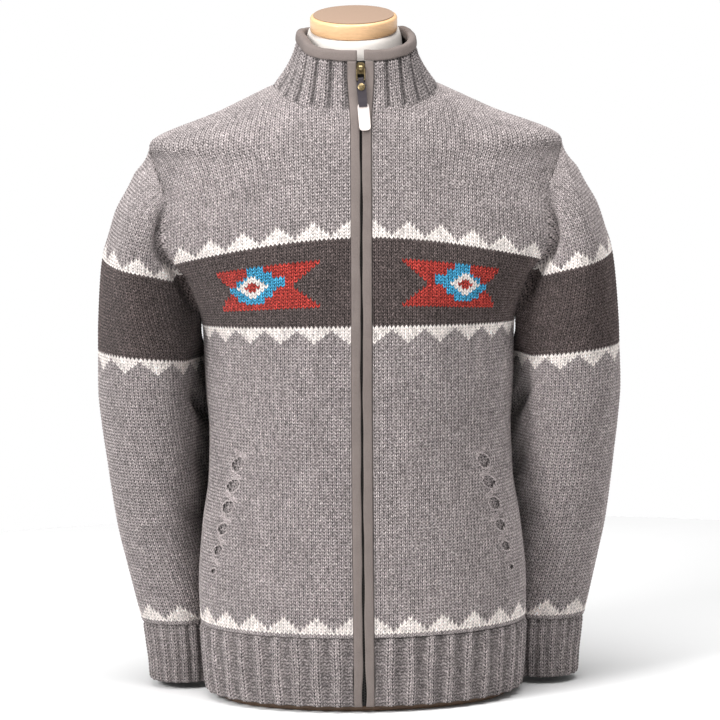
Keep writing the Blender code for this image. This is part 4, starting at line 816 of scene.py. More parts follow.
def trunk_place(face, us, start, wales):
    """Places of stitches on the front or the back, with the columns' lowest and highest courses."""
    skin = TRUNK_SKIN[face]
    heights, courses = [], []
    for size in np.abs(us):
        z = np.linspace(HEM_TOP + SEAM_GAP, trunk_top(face, size, start, wales), COLUMN_STEPS)
        hang = through(DROOP_COLUMNS, DROOP, "droop", z) * np.clip(size / edge_wale(z, wales), 0, 1) ** 1.7
        share = trunk_distance(face, z, size, start, wales) / skin.length(z)
        heights.append(z)
        courses.append(courses_up(skin, z, share, hang, ROWS_FROM, SHOULDER_ROWS_FROM))

    def place(column, v):
        z = heights_at(v, courses, heights)
        begin = np.maximum(start, zip_edge_x(z) + SEAM_GAP) if face < 0 else 0.0
        share = trunk_distance(face, z, np.abs(us)[column], begin, wales) / skin.length(z)
        flip = np.stack([np.where(us < 0, -1.0, 1.0)[column], np.ones(z.shape), np.ones(z.shape)], -1)
        return skin.at(z, share) * flip, skin.normal(z, share, -face) * flip

    return place, (HEM_TOP + SEAM_GAP - ROWS_FROM) / COURSE, np.array(courses)[:, -1]


def eyelet_places():
    """Each eyelet's middle, from the top one down, with its width and height."""
    middle_x = np.linspace(EYELET_TOP[0], EYELET_BOTTOM[0], len(EYELET_SIZES))
    middle_z = np.linspace(EYELET_TOP[1], EYELET_BOTTOM[1], len(EYELET_SIZES))
    return [(x, z, w, h) for x, z, (w, h) in zip(middle_x, middle_z, EYELET_SIZES)]


def in_eyelets(points):
    """Which points of a front lie in the pocket's eyelets, each a slanted lozenge."""
    inside = np.zeros(points.shape[:-1], bool)
    for x, z, width, height in eyelet_places():
        across = (np.abs(points[..., 0]) - x) / (width / 2)
        up = (points[..., 2] - z) / (height / 2)
        inside |= (np.abs(across + 0.25 * up) + np.abs(up + 0.15 * across) < EYELET_REACH) & (points[..., 1] < 0)
    return inside


us = np.arange(0, 2 * FRONT_WALES + 1) / 2.0
place, low, high = trunk_place(-1, us, ZIP_EDGE_X + SEAM_GAP, FRONT_WALES)
fronts = [knitted("knit_front_" + side, place, leg_offsets(len(us)), low, high, front_colours, side == "right",
                  gaps=in_eyelets) for side in SIDES]

us = np.arange(-2 * BACK_WALES, 2 * BACK_WALES + 1) / 2.0
place, low, high = trunk_place(1, us, 0.0, BACK_WALES)
knit_back = knitted("knit_back", place, leg_offsets(len(us)), low, high,
                    bands_about(BACK_WALES, CHEST_BAND, HEM_BAND))


# ---------------------------------------------------------------- sleeves

def folds(from_seam, z):
    """Depth of the sleeve's creases: along the armhole's seam, and across the bend of the arm."""
    beside = np.interp(z, FURROW_HEIGHTS, FURROW_DEPTHS)
    depth = beside * np.exp(-((from_seam - FURROW_AWAY) / FURROW_AWAY) ** 2) * np.clip(from_seam / 0.003, 0, 1)
    for high, slant, deep, wide in CREASES:
        depth = depth + deep * np.exp(-((z - high - slant * from_seam) / wide) ** 2
                                      - ((from_seam - CREASES_AWAY) / CREASES_REACH) ** 2)
    return depth


def sleeve_place(reaches):
    """Wales run parallel to the sleeve's outermost line. Negative ones lie on its front half."""
    heights, courses = [], []
    for reach in reaches:
        skin = SLEEVE_SKIN[-1 if reach < 0 else 1]
        inside = np.nonzero(skin.length(SLEEVE_Z) >= abs(reach))[0]
        z = np.linspace(SLEEVE_Z[inside[0]], SLEEVE_Z[inside[-1]], COLUMN_STEPS)
        z = np.clip(z, CUFF_TOP + SEAM_GAP, SHOULDER_TIP - SLEEVE_TOP_MARGIN)
        share_of_droop = min((abs(reach) / SLEEVE_DROOP_REACH) ** 2.2, SLEEVE_DROOP_MOST)
        hang = through(DROOP_COLUMNS, SLEEVE_DROOP, "droop", z) * share_of_droop
        share = 1 - abs(reach) / skin.length(z)
        heights.append(z)
        courses.append(courses_up(skin, z, share, hang, CUFF_TOP, SLEEVE_ROWS_TURN_AT))

    def place(column, v):
        z = heights_at(v, courses, heights)
        points, normals = np.empty(v.shape + (3,)), np.empty(v.shape + (3,))
        for face, chosen, sunk in ((-1, reaches < 0, 1.0), (1, reaches >= 0, FOLDS_BEHIND)):
            skin, level = SLEEVE_SKIN[face], z[chosen]
            share = 1 - np.abs(reaches[chosen])[:, None] / skin.length(level)
            normals[chosen] = skin.normal(level, share, -face)
            depth = folds(share * skin.length(level), level) * sunk
            points[chosen] = skin.at(level, share) - normals[chosen] * depth[..., None]
        return points, normals

    return place, np.array(courses)[:, 0], np.array(courses)[:, -1]


front_reach, back_reach = (float(np.max(SLEEVE_SKIN[face].lengths)) for face in (-1, 1))
front_count, back_count = int(front_reach / WALE), int(back_reach / WALE)
us = np.arange(-2 * front_count, 2 * back_count + 1) / 2.0
stretch = np.where(us < 0, front_reach / (front_count * WALE), back_reach / (back_count * WALE))
place, low, high = sleeve_place(us * WALE * stretch * INSIDE_SEAM)
sleeves = [knitted("knit_sleeve_" + side, place, leg_offsets(len(us)), low, high,
                   bands_about(front_count, SLEEVE_BAND, CUFF_BAND), side == "right") for side in SIDES]


# ---------------------------------------------------------------- ribs

# Each rib's wales as (width, purl)
HEM_PATTERN = ((0.27, True), (0.27, True), (0.23, False), (0.23, False))
COLLAR_PATTERN = ((0.19, True), (0.27, False), (0.27, False), (0.27, False))
CUFF_PATTERN = ((0.30, True), (0.35, False), (0.35, False))
CREST_SOFT = 0.10 / 3
RIB_TUCK = 0.0012
HEM_TOP_TUCK = 0.0016
RIB_SHADE = 0.93
# How far crests stand up, as shares of RIB_RAISE, and how far the whole rib lies in
HEM_CREST, HEM_SUNK = 1.8, 1.1
CUFF_CREST, CUFF_SUNK = 1.7, 1.0
COLLAR_CREST, COLLAR_SUNK = 1.5, 0.62
HEM_WOBBLE = 0.0010
HEM_TOP_MARGIN = 0.0004
HEM_RIBS = {-1: 10, 1: 21}
CUFF_RIBS = 20
COLLAR_RIBS = 25
HEM_ROWS = round((HEM_TOP - 0.010) / COURSE)
CUFF_ROWS = round((CUFF_TOP - CUFF_LOW) / COURSE)
COLLAR_ROWS = round(0.070 / COURSE)


def rib_columns(ribs, pattern):
    """Half-wale columns of a run of ribs: their places in the run, lifts, which cells are purl, and crests.

    A crest is the height of the rib's wave, 0 over purl and 1 over knit, with neighbouring wales joined.
    """
    places, offsets, purl, joined = [], [], [], []
    for k in range(ribs):
        at = float(k)
        for width, is_purl in pattern:
            places += [at, at + width / 2]
            offsets += [LEG_RISE, PURL_RISE if is_purl else 0.0]
            purl += [is_purl, is_purl]
            at += width
    places = np.array(places + [float(ribs)]) / ribs
    for width, is_purl in pattern:
        if joined and joined[-1][1] == is_purl:
            width += joined.pop()[0]
        joined.append((width, is_purl))
    phase = np.mod(places * ribs, 1.0)
    bounds = np.concatenate([[0], np.cumsum([width for width, _ in joined])])
    value = np.zeros_like(phase)
    for (_, is_purl), low, high in zip(joined, bounds[:-1], bounds[1:]):
        for shift in () if is_purl else (-1, 0, 1):
            up = 1 / (1 + np.exp(-(phase + shift - low - 0.01) / CREST_SOFT))
            down = 1 / (1 + np.exp((phase + shift - high + 0.01) / CREST_SOFT))
            value = np.maximum(value, up * down)
    return places, np.array(offsets + [LEG_RISE]), np.array(purl), np.clip(value * 1.05, 0, 1)


def ribbed(name, ribs, pattern, rows, make_place, **more):
    """A sheet of ribs. make_place takes its columns' places in the run and their crests."""
    places, offsets, purl, crest = rib_columns(ribs, pattern)
    # The crests also set the painted shade of the yarn between the ribs
    return knitted(name, make_place(places, crest), offsets, 0.0, float(rows), plain(RIB_SHADE), purl=purl,
                   wall=KNIT_WALL, crest=crest, **more)


def tucked(up, low, high, low_depth, high_depth):
    """How far a rib turns in, over shares of its height at the lower and the upper edge."""
    return (np.clip((low - up) / low, 0, 1) * low_depth
            + np.clip((up - (1 - high)) / high, 0, 1) * high_depth)


def hem_low(x, y):
    """Height of the hem's lower edge."""
    sideways = np.clip(np.abs(x) / HEM_SIDE_X, 0, 1) ** 2
    middle = np.where(y < 0, HEM_FRONT_LOW, HEM_BACK_LOW)
    return middle * (1 - sideways) + (HEM_SIDE_LOW - HEM_HANGS) * sideways


def hem_place(face, places, crest):
    """A hem rib on the trunk's skin, between the panel above and the lower edge."""
    skin = TRUNK_SKIN[face]
    whole = face > 0
    shares = np.abs(2 * places - 1) if whole else places
    side = np.where(whole & (places < 0.5), -1.0, 1.0)
    start = 0.0 if whole else ZIP_EDGE_X + SEAM_GAP

    def place(column, v):
        up = np.clip(v / HEM_ROWS, 0, 1)
        level = HEM_FOLLOWS_FROM + up * (HEM_TOP - HEM_FOLLOWS_FROM)
        length = skin.length(level)
        share = (start + (length - start) * shares[column]) / length
        points = skin.at(level, share)
        normals = unit(skin.normal(level, share, -face) * (1, 1, 0))
        low = hem_low(points[..., 0], points[..., 1])
        points[..., 2] = low * (1 - up) + (HEM_TOP - HEM_TOP_MARGIN) * up
        wobble = HEM_WOBBLE * np.sin(3.1 * places[column] * HEM_RIBS[face] + 5 * up)
        raised = RIB_RAISE * (HEM_CREST * crest[column] - HEM_SUNK) - tucked(up, 0.06, 0.05, RIB_TUCK, HEM_TOP_TUCK)
        points = points + normals * raised[..., None]
        points[..., 0] += wobble * np.abs(normals[..., 1]) * np.sin(math.pi * up)
        points[..., 0] *= side[column]
        normals[..., 0] *= side[column]
        return points, normals

    return place


def cuff_place(places, crest):
    """A cuff round the wrist, from its lower edge up to the sleeve."""
    def place(column, v):
        up = np.clip(v / CUFF_ROWS, 0, 1)
        height = CUFF_LOW + up * (CUFF_TOP - CUFF_LOW)
        outer, inner, front, back = (through(CUFF_COLUMNS, CUFF, name, height) for name in CUFF_COLUMNS[1:])
        angle = 2 * math.pi * places[column] - math.pi / 2
        ray = np.stack([np.cos(angle), np.sin(angle)], -1)
        middle = np.stack([outer + inner, front + back], -1) / 2
        half = np.stack([outer - inner, back - front], -1) / 2
        raised = RIB_RAISE * (CUFF_CREST * crest[column] - CUFF_SUNK) - tucked(up, 0.07, 0.06, RIB_TUCK, RIB_TUCK)
        ring = middle + ray * (half + raised[..., None])
        points = np.concatenate([ring, (height - 0.0002 * up)[..., None]], -1)
        return points, np.concatenate([ray, np.zeros(ray.shape[:-1] + (1,))], -1)

    return place


ribs_made = {"hem_rib_" + side: ribbed("knit_hem_" + side, HEM_RIBS[-1], HEM_PATTERN, HEM_ROWS,
                                       partial(hem_place, -1), mirror=side == "right") for side in SIDES}
ribs_made["hem_rib_back"] = ribbed("knit_hem_back", HEM_RIBS[1], HEM_PATTERN, HEM_ROWS, partial(hem_place, 1))
for side in SIDES:
    ribs_made["cuff_" + side] = ribbed("knit_cuff_" + side, CUFF_RIBS, CUFF_PATTERN, CUFF_ROWS, cuff_place,
                                       mirror=side == "right", closed=True)


# ---------------------------------------------------------------- collar

NECK_ANGLES = np.radians(np.linspace(0, 180, 721))
NECK_JOINS_OVER = math.radians(22)
NEAR_FRONT = math.radians(16)
COLLAR_FRONT_TOP = COLLAR_TOP_MIDDLE - COLLAR_TOP_RISE
COLLAR_MIDDLE = np.array([0.0, -0.015, 0.0])


def neckline_table():
    """The neckline's points. The front and the back meet over an arc at each side."""
    points = []
    for angle in NECK_ANGLES:
        face = -1 if angle < math.pi / 2 else 1
        low = NECK_FRONT if face < 0 else NECK_BACK
        height = NECK_SIDE - (NECK_SIDE - low) * abs(math.cos(angle))
        x = NECK_SIDE_X * math.sin(angle)
        arc = trunk_arcs(np.array([min(height, NECK_SIDE - 1e-4)]), face)[0]
        points.append((x, float(np.interp(x, arc[:, 0], arc[:, 1])), height))
    points = np.array(points)
    outside = np.abs(NECK_ANGLES - math.pi / 2) > NECK_JOINS_OVER
    points[:, 1] = np.interp(NECK_ANGLES, NECK_ANGLES[outside], points[outside, 1])
    return points


NECKLINE = neckline_table()


def collar_at(angle, share):
    """Points of the collar's outside for angles from the middle front round to the middle back."""
    low = np.stack([np.interp(angle, NECK_ANGLES, NECKLINE[:, k]) for k in range(3)], -1)
    middle = (COLLAR_TOP_FRONT + COLLAR_TOP_BACK) / 2
    half = (COLLAR_TOP_BACK - COLLAR_TOP_FRONT) / 2
    power = np.where(np.cos(angle) > 0, COLLAR_FRONT_SQUARE, 2.0)
    out = (np.abs(np.sin(angle)) ** power + np.abs(np.cos(angle)) ** power) ** (-1 / power)
    front = np.cos(angle) * out
    high = np.stack([COLLAR_TOP_X * np.sin(angle) * out, middle - half * front,
                     COLLAR_TOP_MIDDLE - ((COLLAR_TOP_RISE + COLLAR_BACK_RISE) * front
                                          + (COLLAR_TOP_RISE - COLLAR_BACK_RISE) * front * front) / 2], -1)
    up = np.asarray(share)[..., None]
    points = high + (low - high) * (1 - up) ** COLLAR_FLARE
    points[..., 2] = low[..., 2] + (high[..., 2] - low[..., 2]) * np.asarray(share)
    return points


def round_collar(place_in_run, share, edge_x):
    """Points round the collar, which starts and ends at a distance from the middle front."""
    near = collar_at(np.full(np.shape(share), NEAR_FRONT), share)
    start = NEAR_FRONT * edge_x / near[..., 0]
    angle = math.pi - np.abs(1 - 2 * place_in_run) * (math.pi - start)
    points = collar_at(angle, share)
    points[..., 0] *= np.where(place_in_run < 0.5, -1, 1)
    return points


def collar_frame(place_in_run, share, edge_x):
    """Points round the collar with level directions pointing out of it."""
    points = round_collar(place_in_run, share, edge_x)
    ahead = round_collar(np.clip(place_in_run + 0.002, 0, 1), share, edge_x)
    behind = round_collar(np.clip(place_in_run - 0.002, 0, 1), share, edge_x)
    along = ahead - behind
    out = unit(np.stack([-along[..., 1], along[..., 0], np.zeros(along.shape[:-1])], -1))
    return points, out * np.sign(np.sum(out * (points - COLLAR_MIDDLE) * (1, 1, 0), axis=-1, keepdims=True))


places, offsets, purl, collar_crest = rib_columns(COLLAR_RIBS, COLLAR_PATTERN)


def collar_place(column, v):
    share = np.clip(v / COLLAR_ROWS, 0, 1) * 0.985 + 0.002
    edge = zip_edge_x(NECK_FRONT + share * (COLLAR_FRONT_TOP - NECK_FRONT)) + SEAM_GAP
    points, out = collar_frame(places[column], share, edge)
    fade = np.clip((share - 0.83) / 0.05, 0, 1)
    raised = RIB_RAISE * COLLAR_CREST * (collar_crest[column] - COLLAR_SUNK) * np.clip(share / 0.10, 0.25, 1)
    raised = raised * (1 - fade) - RIB_TUCK * fade
    return points + out * raised[..., None], out


# The collar's valleys between ribs get a deeper painted shade than the hem's and the cuffs'
knit_collar = knitted("knit_collar", collar_place, offsets, 0.0, float(COLLAR_ROWS), plain(RIB_SHADE), purl=purl,
                      wall=COLLAR_WALL - 0.0010, crest=collar_crest ** 1.5, valley_painted_shade=0.22)


# ---------------------------------------------------------------- sweeps: binding, zip bands, teeth

BINDING_STATIONS = 181
BAND_STATIONS = 260
TOOTH_PITCH = 0.0016
TOOTH_HALF = (0.0013, 0.0009, 0.00055)
TEETH_MESHED_TO = 0.726
TEETH_STAGGER = 0.0007
TEETH_BEHIND = 0.0042
BINDING_LAP = 0.0006
NECK_FRONT_DEPTH = 0.1060


def ring_faces(stations, size, base=0):
    """The triangles of a tube of rings, and their corners' places along and round it."""
    index = base + np.arange(stations * size).reshape(stations, size)
    s, k = (axis.ravel() for axis in np.meshgrid(np.arange(stations - 1), np.arange(size), indexing="ij"))
    after = (k + 1) % size
    quads = np.stack([index[s, k], index[s, after], index[s + 1, after], index[s + 1, k]], 1)
    uv = np.stack([(s[:, None] + SQUARE_Y[:4]) / (stations - 1), (k[:, None] + SQUARE_X[:4]) / size], -1)
    return halved(quads), halved(uv).reshape(-1, 2)


def sweep(name, loops, finish):
    """A tube through loops of equal length, given as stations x points x 3, with its ends filled."""
    loops = np.asarray(loops, float)
    stations, size = loops.shape[:2]
    faces, bake = ring_faces(stations, size)
    bake = bake * 0.94 + 0.01
    points = loops.reshape(-1, 3)
    for station, turn in ((0, 1), (stations - 1, -1)):
        ring = station * size + np.arange(size)
        fan = np.stack([np.roll(ring, -1), ring, np.full(size, len(points))], 1)[:, ::turn]
        points = np.concatenate([points, loops[station].mean(axis=0, keepdims=True)])
        faces = np.concatenate([faces, fan])
        bake = np.concatenate([bake, np.full((3 * size, 2), 0.975)])
    made = mesh_object(name, points, faces, finish, bake_uv=bake)
    a, b, c = (points[faces[:, k]] for k in range(3))
    if np.einsum("ij,ij->i", a, np.cross(b, c)).sum() < 0:
        made.data.flip_normals()
    return made


def round_profile(points, cut, radius_steps=4):
    """A closed profile with its corners rounded."""
    points = np.asarray(points, float)
    out = []
    for k, here in enumerate(points):
        a = here + (points[k - 1] - here) * cut
        b = here + (points[(k + 1) % len(points)] - here) * cut
        for t in np.linspace(0, 1, radius_steps):
            out.append((1 - t) ** 2 * a + 2 * (1 - t) * t * here + t * t * b)
    return np.array(out)


def middle_front(height):
    """Depth of the cloth's outside at the middle front, up the trunk and then the collar."""
    height = np.asarray(height, float)
    share = np.clip((height - NECK_FRONT) / (COLLAR_FRONT_TOP - NECK_FRONT), 0, 1)
    above = COLLAR_TOP_FRONT + (-NECK_FRONT_DEPTH - COLLAR_TOP_FRONT) * (1 - share) ** COLLAR_FLARE
    below = -through(TRUNK_COLUMNS, TRUNK, "front", np.minimum(height, NECK_FRONT))
    return np.where(height <= NECK_FRONT, below, above)


def binding_loops():
    """The binding folded over the collar's top edge, with its front ends squeezed."""
    run = np.linspace(0, 1, BINDING_STATIONS)
    edge, out = collar_frame(run, np.ones(run.shape), BINDING_EDGE_X)
    below = round_collar(run, np.full(run.shape, 1 - BINDING_DEPTH / COLLAR_SLANT), BINDING_EDGE_X)
    drop = unit(below - edge)
    out[0, 0] = out[-1, 0] = 0
    out = unit(out)
    low = BINDING_DEPTH + BINDING_LAP
    profile = round_profile(((0.0026, low), (0.0031, 0.0050), (0.0026, -0.0020), (-0.0020, -0.0036),
                             (-0.0066, -0.0020), (-0.0072, 0.0050), (-0.0066, low), (-0.0020, low - 0.0012)), 0.4)
    wave = 0.0003 * np.sin(run * 61) + 0.0002 * np.sin(run * 143 + 1)
    end = np.clip(np.minimum(run, 1 - run) / 0.008, 0, 1)
    squeeze = (0.80 + 0.20 * np.sqrt(1 - (1 - end) ** 2))[:, None]
    across = (profile[:, 0] + 0.002) * squeeze - 0.002
    down = (profile[:, 1] - low) * (0.9 + 0.1 * squeeze) + low + wave[:, None]
    return drifted(edge[:, None] + out[:, None] * across[..., None] + drop[:, None] * down[..., None])


binding = sweep("jersey_binding", binding_loops(), JERSEY)


def band_loops(mirror):
    """Jersey strip beside the zip, folded round its edge: it stands proud of the knit and sways a little."""
    z = np.linspace(ZIP_BOTTOM, COLLAR_FRONT_TOP - BINDING_DEPTH - 2 * SEAM_GAP, BAND_STATIONS)[:, None]
    sway = 0.00025 * np.sin(z * 47 + (2 if mirror else 0)) + 0.0002 * np.sin(z * 101)
    near, far = through(GAP_COLUMNS, GAP, "gap", z) + sway, zip_edge_x(z) - SEAM_GAP * 0.5
    profile = round_profile(((-1, 0.0), (-0.5, -0.08), (0.5, -0.08), (1, 0.0), (1, 0.8), (0, 1.0), (-1, 0.8)), 0.42)
    x = (far + near) / 2 + profile[:, 0] * (far - near) / 2
    lump = 0.00025 * np.sin(z * 210 + (1 if mirror else 0))
    y = middle_front(z) - ZIP_BAND_STAND - 0.0006 + lump + profile[:, 1] * (ZIP_BAND_THICKNESS - 0.0004)
    return drifted(np.stack([-x if mirror else x, y, z + 0 * x], -1))


bands = {side: sweep("jersey_band_" + side, band_loops(side == "right"), JERSEY) for side in SIDES}


def boxes(name, centres, half, finish):
    """Small blocks at many places, as one piece."""
    signs = np.array([(a, b, c) for a in (-1, 1) for b in (-1, 1) for c in (-1, 1)], float)
    quads = np.array([(0, 1, 3, 2), (4, 6, 7, 5), (0, 4, 5, 1), (2, 3, 7, 6), (0, 2, 6, 4), (1, 5, 7, 3)])
    points = (np.asarray(centres)[:, None, :] + signs[None] * np.asarray(half)).reshape(-1, 3)
    faces = (np.arange(len(centres))[:, None, None] * 8 + quads[None]).reshape(-1, 4)
    uv = np.tile(np.array([(0, 0), (1, 0), (1, 1), (0, 1)], float) * 0.9 + 0.05, (len(faces), 1))
    return mesh_object(name, points, faces, finish, bake_uv=uv, smooth=False)


def teeth():
    """Rows of teeth: meshed below the slider, and apart along the two tapes above it."""
    centres = []
    for k, z in enumerate(np.arange(ZIP_BOTTOM + 0.004, COLLAR_FRONT_TOP - BINDING_DEPTH - 0.002, TOOTH_PITCH)):
        away = TEETH_STAGGER if z < TEETH_MESHED_TO else float(through(GAP_COLUMNS, GAP, "gap", z)) - 0.0003
        centres.append((away if k % 2 else -away, float(middle_front(z)) + TEETH_BEHIND, z))
    return drifted(centres)


zip_teeth = boxes("zip_teeth", teeth(), TOOTH_HALF, TEETH)


# ---------------------------------------------------------------- pocket edges and lining

CORD_RADIUS = 0.0009
BRIDGE_RADIUS = 0.00075
STRAND_SHADE = 0.80
PLY_SWELL = 0.16
PLY_TURN = 1.8
EYELET_CORD_SHARE = 0.54
LINING_LEFT_OF_TOP = 0.58
LINING_COLUMNS = 13
LINING_WIDTH = 0.024
LINING_PAST_EYELETS = 0.014
LINING_BEHIND = 0.0026


def on_front(x, z, stand, samples=400):
    """Points and normals of the left front at distances from the middle and heights, stood off the skin."""
    skin = TRUNK_SKIN[-1]
    shares = np.linspace(0, 1, samples)
    found = [np.interp(a, skin.at(np.full(samples, b), shares)[:, 0], shares) for a, b in zip(x.flat, z.flat)]
    share = np.array(found).reshape(x.shape)
    normals = skin.normal(z, share, 1)
    return skin.at(z, share) + normals * np.asarray(stand)[..., None], normals


def tube(path, radius, around=8):
    """A round strand along a path, with a light two-ply swelling."""
    along = unit(np.gradient(path, axis=0))
    side = unit(np.cross(along, (0.0, -1.0, 0.0)))
    up = np.cross(side, along)
    angles = np.linspace(0, 2 * math.pi, around, endpoint=False)[:, None]
    swollen = radius * (1 + PLY_SWELL * np.cos(PLY_TURN * np.arange(len(path))))
    return path[:, None] + (np.cos(angles) * side[:, None] + np.sin(angles) * up[:, None]) * swollen[:, None, None]


def joined(name, tubes, mirror):
    """Several strands of yarn as one piece."""
    faces, bake, base = [], [], 0
    for n, rings in enumerate(tubes):
        triangles, uv = ring_faces(*rings.shape[:2], base)
        faces.append(triangles)
        bake.append((uv + (0, n)) / (1, len(tubes)) * 0.98 + 0.01)
        base += rings.size // 3
    points = np.concatenate([rings.reshape(-1, 3) for rings in tubes])
    faces = np.concatenate(faces)
    corners = (faces.size, 1)
    return mesh_object(name, drifted(points * MIRROR if mirror else points), faces, YARN, np.tile(FLAT_STITCH, corners),
                       np.concatenate(bake), np.tile((*(STRAND_SHADE * np.array(HEATHER)), 1.0), corners))


def pocket_strands(mirror):
    """A cord round each eyelet, and strands over the bridges between them, slanting down towards the zip."""
    places = eyelet_places()
    first, second = places[0], places[1]
    above = (2 * first[0] - second[0], 2 * first[1] - second[1], first[2], first[3])
    tubes = []
    turn = np.linspace(0, 2 * math.pi, 25)
    for x, z, w, h in places:
        ring_x, ring_z = EYELET_CORD_SHARE * w * np.cos(turn), EYELET_CORD_SHARE * h * np.sin(turn)
        path, _ = on_front(x + ring_x - 0.20 * ring_z, z + ring_z - 0.25 * ring_x, 0.0003)
        tubes.append(tube(path, CORD_RADIUS))
    t = np.linspace(-1, 1, 15)
    stops = [above] + places
    for (x0, z0, w0, _), (x1, z1, w1, _) in zip(stops[:-1], stops[1:]):
        x = (x0 + x1) / 2 + (w0 + w1) * 0.30 * t
        for shift in (-1.0, 0.0, 1.0):
            z = (z0 + z1) / 2 + 0.0022 * shift + 0.0040 * t - 0.0010 * shift * t * t
            path, _ = on_front(x, z, 0.0005 - 0.0020 * t ** 4)
            tubes.append(tube(path, BRIDGE_RADIUS))
    return joined("strands_" + ("right" if mirror else "left"), tubes, mirror)


strands = {side: pocket_strands(side == "right") for side in SIDES}


def lining_sheet(side):
    """Knitted pocket layer behind the eyelets: its yarn is darkened by a tenth, a painted shade for the inside of the
    eyelets.
    """
    lean = (EYELET_TOP[0] - EYELET_BOTTOM[0]) / (EYELET_TOP[1] - EYELET_BOTTOM[1])
    low, high = EYELET_BOTTOM[1] - LINING_PAST_EYELETS, EYELET_TOP[1] + LINING_PAST_EYELETS
    rows = round((high - low) / COURSE)

    def place(column, v):
        z = low + np.clip(v / rows, 0, 1) * (high - low)
        across = column / (LINING_COLUMNS - 1) - LINING_LEFT_OF_TOP
        x = EYELET_TOP[0] + lean * (z - EYELET_TOP[1]) + across * LINING_WIDTH
        return on_front(x, z, -LINING_BEHIND, 300)

    # The heather at 0.90 is painted shade inside the eyelets
    return knitted("knit_pocket_" + side, place, leg_offsets(LINING_COLUMNS), 0.0, float(rows), plain(0.90),
                   side == "right")


linings = {side: lining_sheet(side) for side in SIDES}


# ---------------------------------------------------------------- the form

ROUND_CORNERS = 96
BASE_CORNERS = 120
NECK_TOP = 0.7650
FLOOR_RADIUS = 1.35
LIGHTS_AIM = Vector((0, 0, 0.4))


def corners_round(count):
    return np.linspace(0, 2 * math.pi, count, endpoint=False)


def form_body():
    heights = np.concatenate([np.linspace(0.0058, 0.60, 30), np.linspace(0.61, NECK_TOP, 28)])
    side, front, back = (through(FORM_COLUMNS, FORM, name, heights)[:, None] for name in FORM_COLUMNS[1:])
    angle = corners_round(ROUND_CORNERS)
    y = np.where(np.sin(angle) < 0, front, back) * np.sin(angle)
    height = heights[:, None]
    lean = math.tan(NECK_TILT) * (y - NECK_Y) * np.clip((height - 0.725) / 0.04, 0, 1)
    return sweep("cover_torso", np.stack([side * np.cos(angle), y, height + lean], -1), COVER)


def turned(name, outline, finish):
    """A round piece on the tilted neck, from its outline as (radius, height)."""
    angle = corners_round(ROUND_CORNERS)
    loops = []
    for radius, up in outline:
        x, y = radius * np.cos(angle), radius * np.sin(angle)
        loops.append(np.stack([x, NECK_Y + y * math.cos(NECK_TILT) - up * math.sin(NECK_TILT),
                               NECK_TOP + SEAM_GAP + y * math.sin(NECK_TILT) + up * math.cos(NECK_TILT)], 1))
    return sweep(name, loops, finish)


def rounded_rim(radius, low, high, bevel, steps=5):
    """The outline of a disc with rounded edges."""
    turns = [(1 - math.sin(t), 1 - math.cos(t)) for t in np.linspace(0, math.pi / 2, steps)]
    return ([(radius - bevel * a, low + bevel * b) for a, b in turns]
            + [(radius - bevel * b, high - bevel * a) for a, b in turns])


def base_board():
    angle = corners_round(BASE_CORNERS)
    depth = np.where(np.sin(angle) < 0, BASE_FRONT, BASE_BACK)
    loops = []
    for inset, z in ((0.0006, 0.0), (0.0, 0.0006), (0.0, BASE_THICKNESS - 0.0008), (0.0008, BASE_THICKNESS)):
        loops.append(np.stack([(BASE_HALF_WIDTH - inset) * np.cos(angle), (depth - inset) * np.sin(angle),
                               np.full(BASE_CORNERS, z)], 1))
    return sweep("base_board", loops, BOARD)


torso = form_body()
block = turned("maple_block", rounded_rim(BLOCK_RADIUS, 0.0, BLOCK_HEIGHT, 0.0033), MAPLE)
disc = turned("neck_disc", rounded_rim(CAP_RADIUS, BLOCK_HEIGHT + SEAM_GAP, BLOCK_HEIGHT + CAP_HEIGHT, 0.0005), DISC)
board = base_board()

# ---------------------------------------------------------------- what rides on what

for node, finish in (("zip_chain", TAPE), ("zip_slider", BRASS), ("pull_link", BRASS), ("pull_rivet", BRASS),
                     ("pull_strap", STRAP), ("pull_tab", TAB)):
    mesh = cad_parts[node].data
    for k in range(len(mesh.materials)):
        mesh.materials[k] = finish

stands_for = [
    (fronts[0], "front_left", "knit"), (fronts[1], "front_right", "knit"), (knit_back, "back", "knit"),
    (sleeves[0], "sleeve_left", "knit"), (sleeves[1], "sleeve_right", "knit"),
    (knit_collar, "collar", "rib"), (binding, "collar_binding", "jersey"),
    (bands["left"], "zip_band_left", "jersey"), (bands["right"], "zip_band_right", "jersey"),
    (linings["left"], "pocket_lining_left", "knit"), (linings["right"], "pocket_lining_right", "knit"),
    (torso, "form_torso", "form"), (block, "form_neck_block", "maple"), (disc, "form_cap_top", "cap"),
    (board, "form_base", "board"),
]
stands_for += [(piece, node, "rib") for node, piece in ribs_made.items()]
for piece, node, slot in stands_for:
    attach(piece, "garment")
    lengths = ("_shoulder", "_elbow", "_wrist") if node.startswith("sleeve") else ("",)
    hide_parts(*(node + length for length in lengths))
for piece, slot in ((zip_teeth, "zip_tape"), (strands["left"], "knit"), (strands["right"], "knit")):
    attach(piece, "garment")

# ---------------------------------------------------------------- floor, light and camera

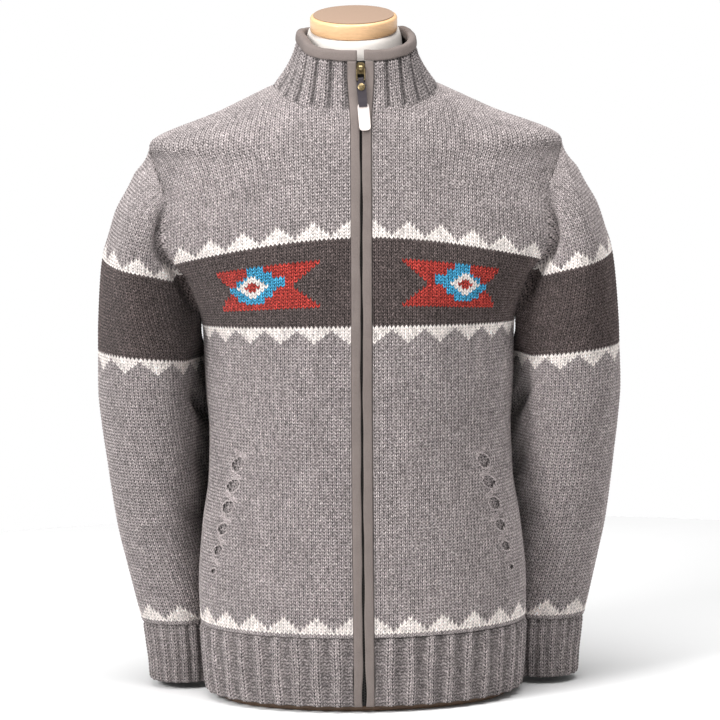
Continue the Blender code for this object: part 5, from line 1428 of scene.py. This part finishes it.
def floor():
    mesh = bpy.data.meshes.new("floor")
    angles = corners_round(ROUND_CORNERS)
    rim = np.stack([FLOOR_RADIUS * np.cos(angles), FLOOR_RADIUS * np.sin(angles), np.zeros(ROUND_CORNERS)], 1)
    mesh.from_pydata(rim.tolist(), [], [tuple(range(ROUND_CORNERS))])
    made, _, shader = finish_of("floor_pale", 0.9, specular=0.1)
    shader.inputs["Base Color"].default_value = (0.95, 0.95, 0.95, 1)
    mesh.materials.append(made)
    obj = bpy.data.objects.new("floor", mesh)
    bpy.context.scene.collection.objects.link(obj)
    obj.location = (0, 0, -SEAM_GAP)


def area_light(name, place, size, power):
    lamp = bpy.data.lights.new(name, "AREA")
    lamp.shape = "RECTANGLE"
    lamp.size = lamp.size_y = size
    lamp.energy = power
    obj = bpy.data.objects.new(name, lamp)
    obj.location = place
    obj.rotation_euler = (LIGHTS_AIM - Vector(place)).to_track_quat("-Z", "Y").to_euler()
    bpy.context.scene.collection.objects.link(obj)


def studio():
    """A white band round the horizon under a dimmer ceiling, so that the light has a direction."""
    world = bpy.data.worlds.new("studio")
    bpy.context.scene.world = world
    world.use_nodes = True
    tree = world.node_tree
    background = tree.nodes["Background"].inputs
    height = new_node(tree, "SeparateXYZ", {0: new_node(tree, "TexCoord", out="Generated")}, out=2)
    background["Color"].default_value = (1, 1, 1, 1)
    feed(tree, background["Strength"], height.ranged(0.0, 0.15, 1.0, 0.31))


floor()
studio()
bpy.context.scene.view_settings.view_transform = "Standard"
area_light("key", (-2.5, -2.3, 2.1), 1.2, 118)
area_light("top", (0.1, -0.7, 2.9), 1.8, 85)

CAMERA_RISE = math.radians(6.5)
CAMERA_AWAY = 4.5
CAMERA_ROLL = math.radians(-0.9)
PHOTO_PIXELS = 720
METRES_PER_PIXEL = 0.00115
CAMERA_AIM = Vector((0.0012, 0.0, 0.3877))
camera_data = bpy.data.cameras.new("camera")
camera_data.lens = camera_data.sensor_width * CAMERA_AWAY / (PHOTO_PIXELS * METRES_PER_PIXEL)
camera = bpy.data.objects.new("camera", camera_data)
camera.location = CAMERA_AIM + CAMERA_AWAY * Vector((0, -math.cos(CAMERA_RISE), math.sin(CAMERA_RISE)))
camera.rotation_euler = (Matrix.Rotation(math.pi / 2 - CAMERA_RISE, 4, "X")
                         @ Matrix.Rotation(CAMERA_ROLL, 4, "Z")).to_euler()
bpy.context.scene.collection.objects.link(camera)
bpy.context.scene.camera = camera
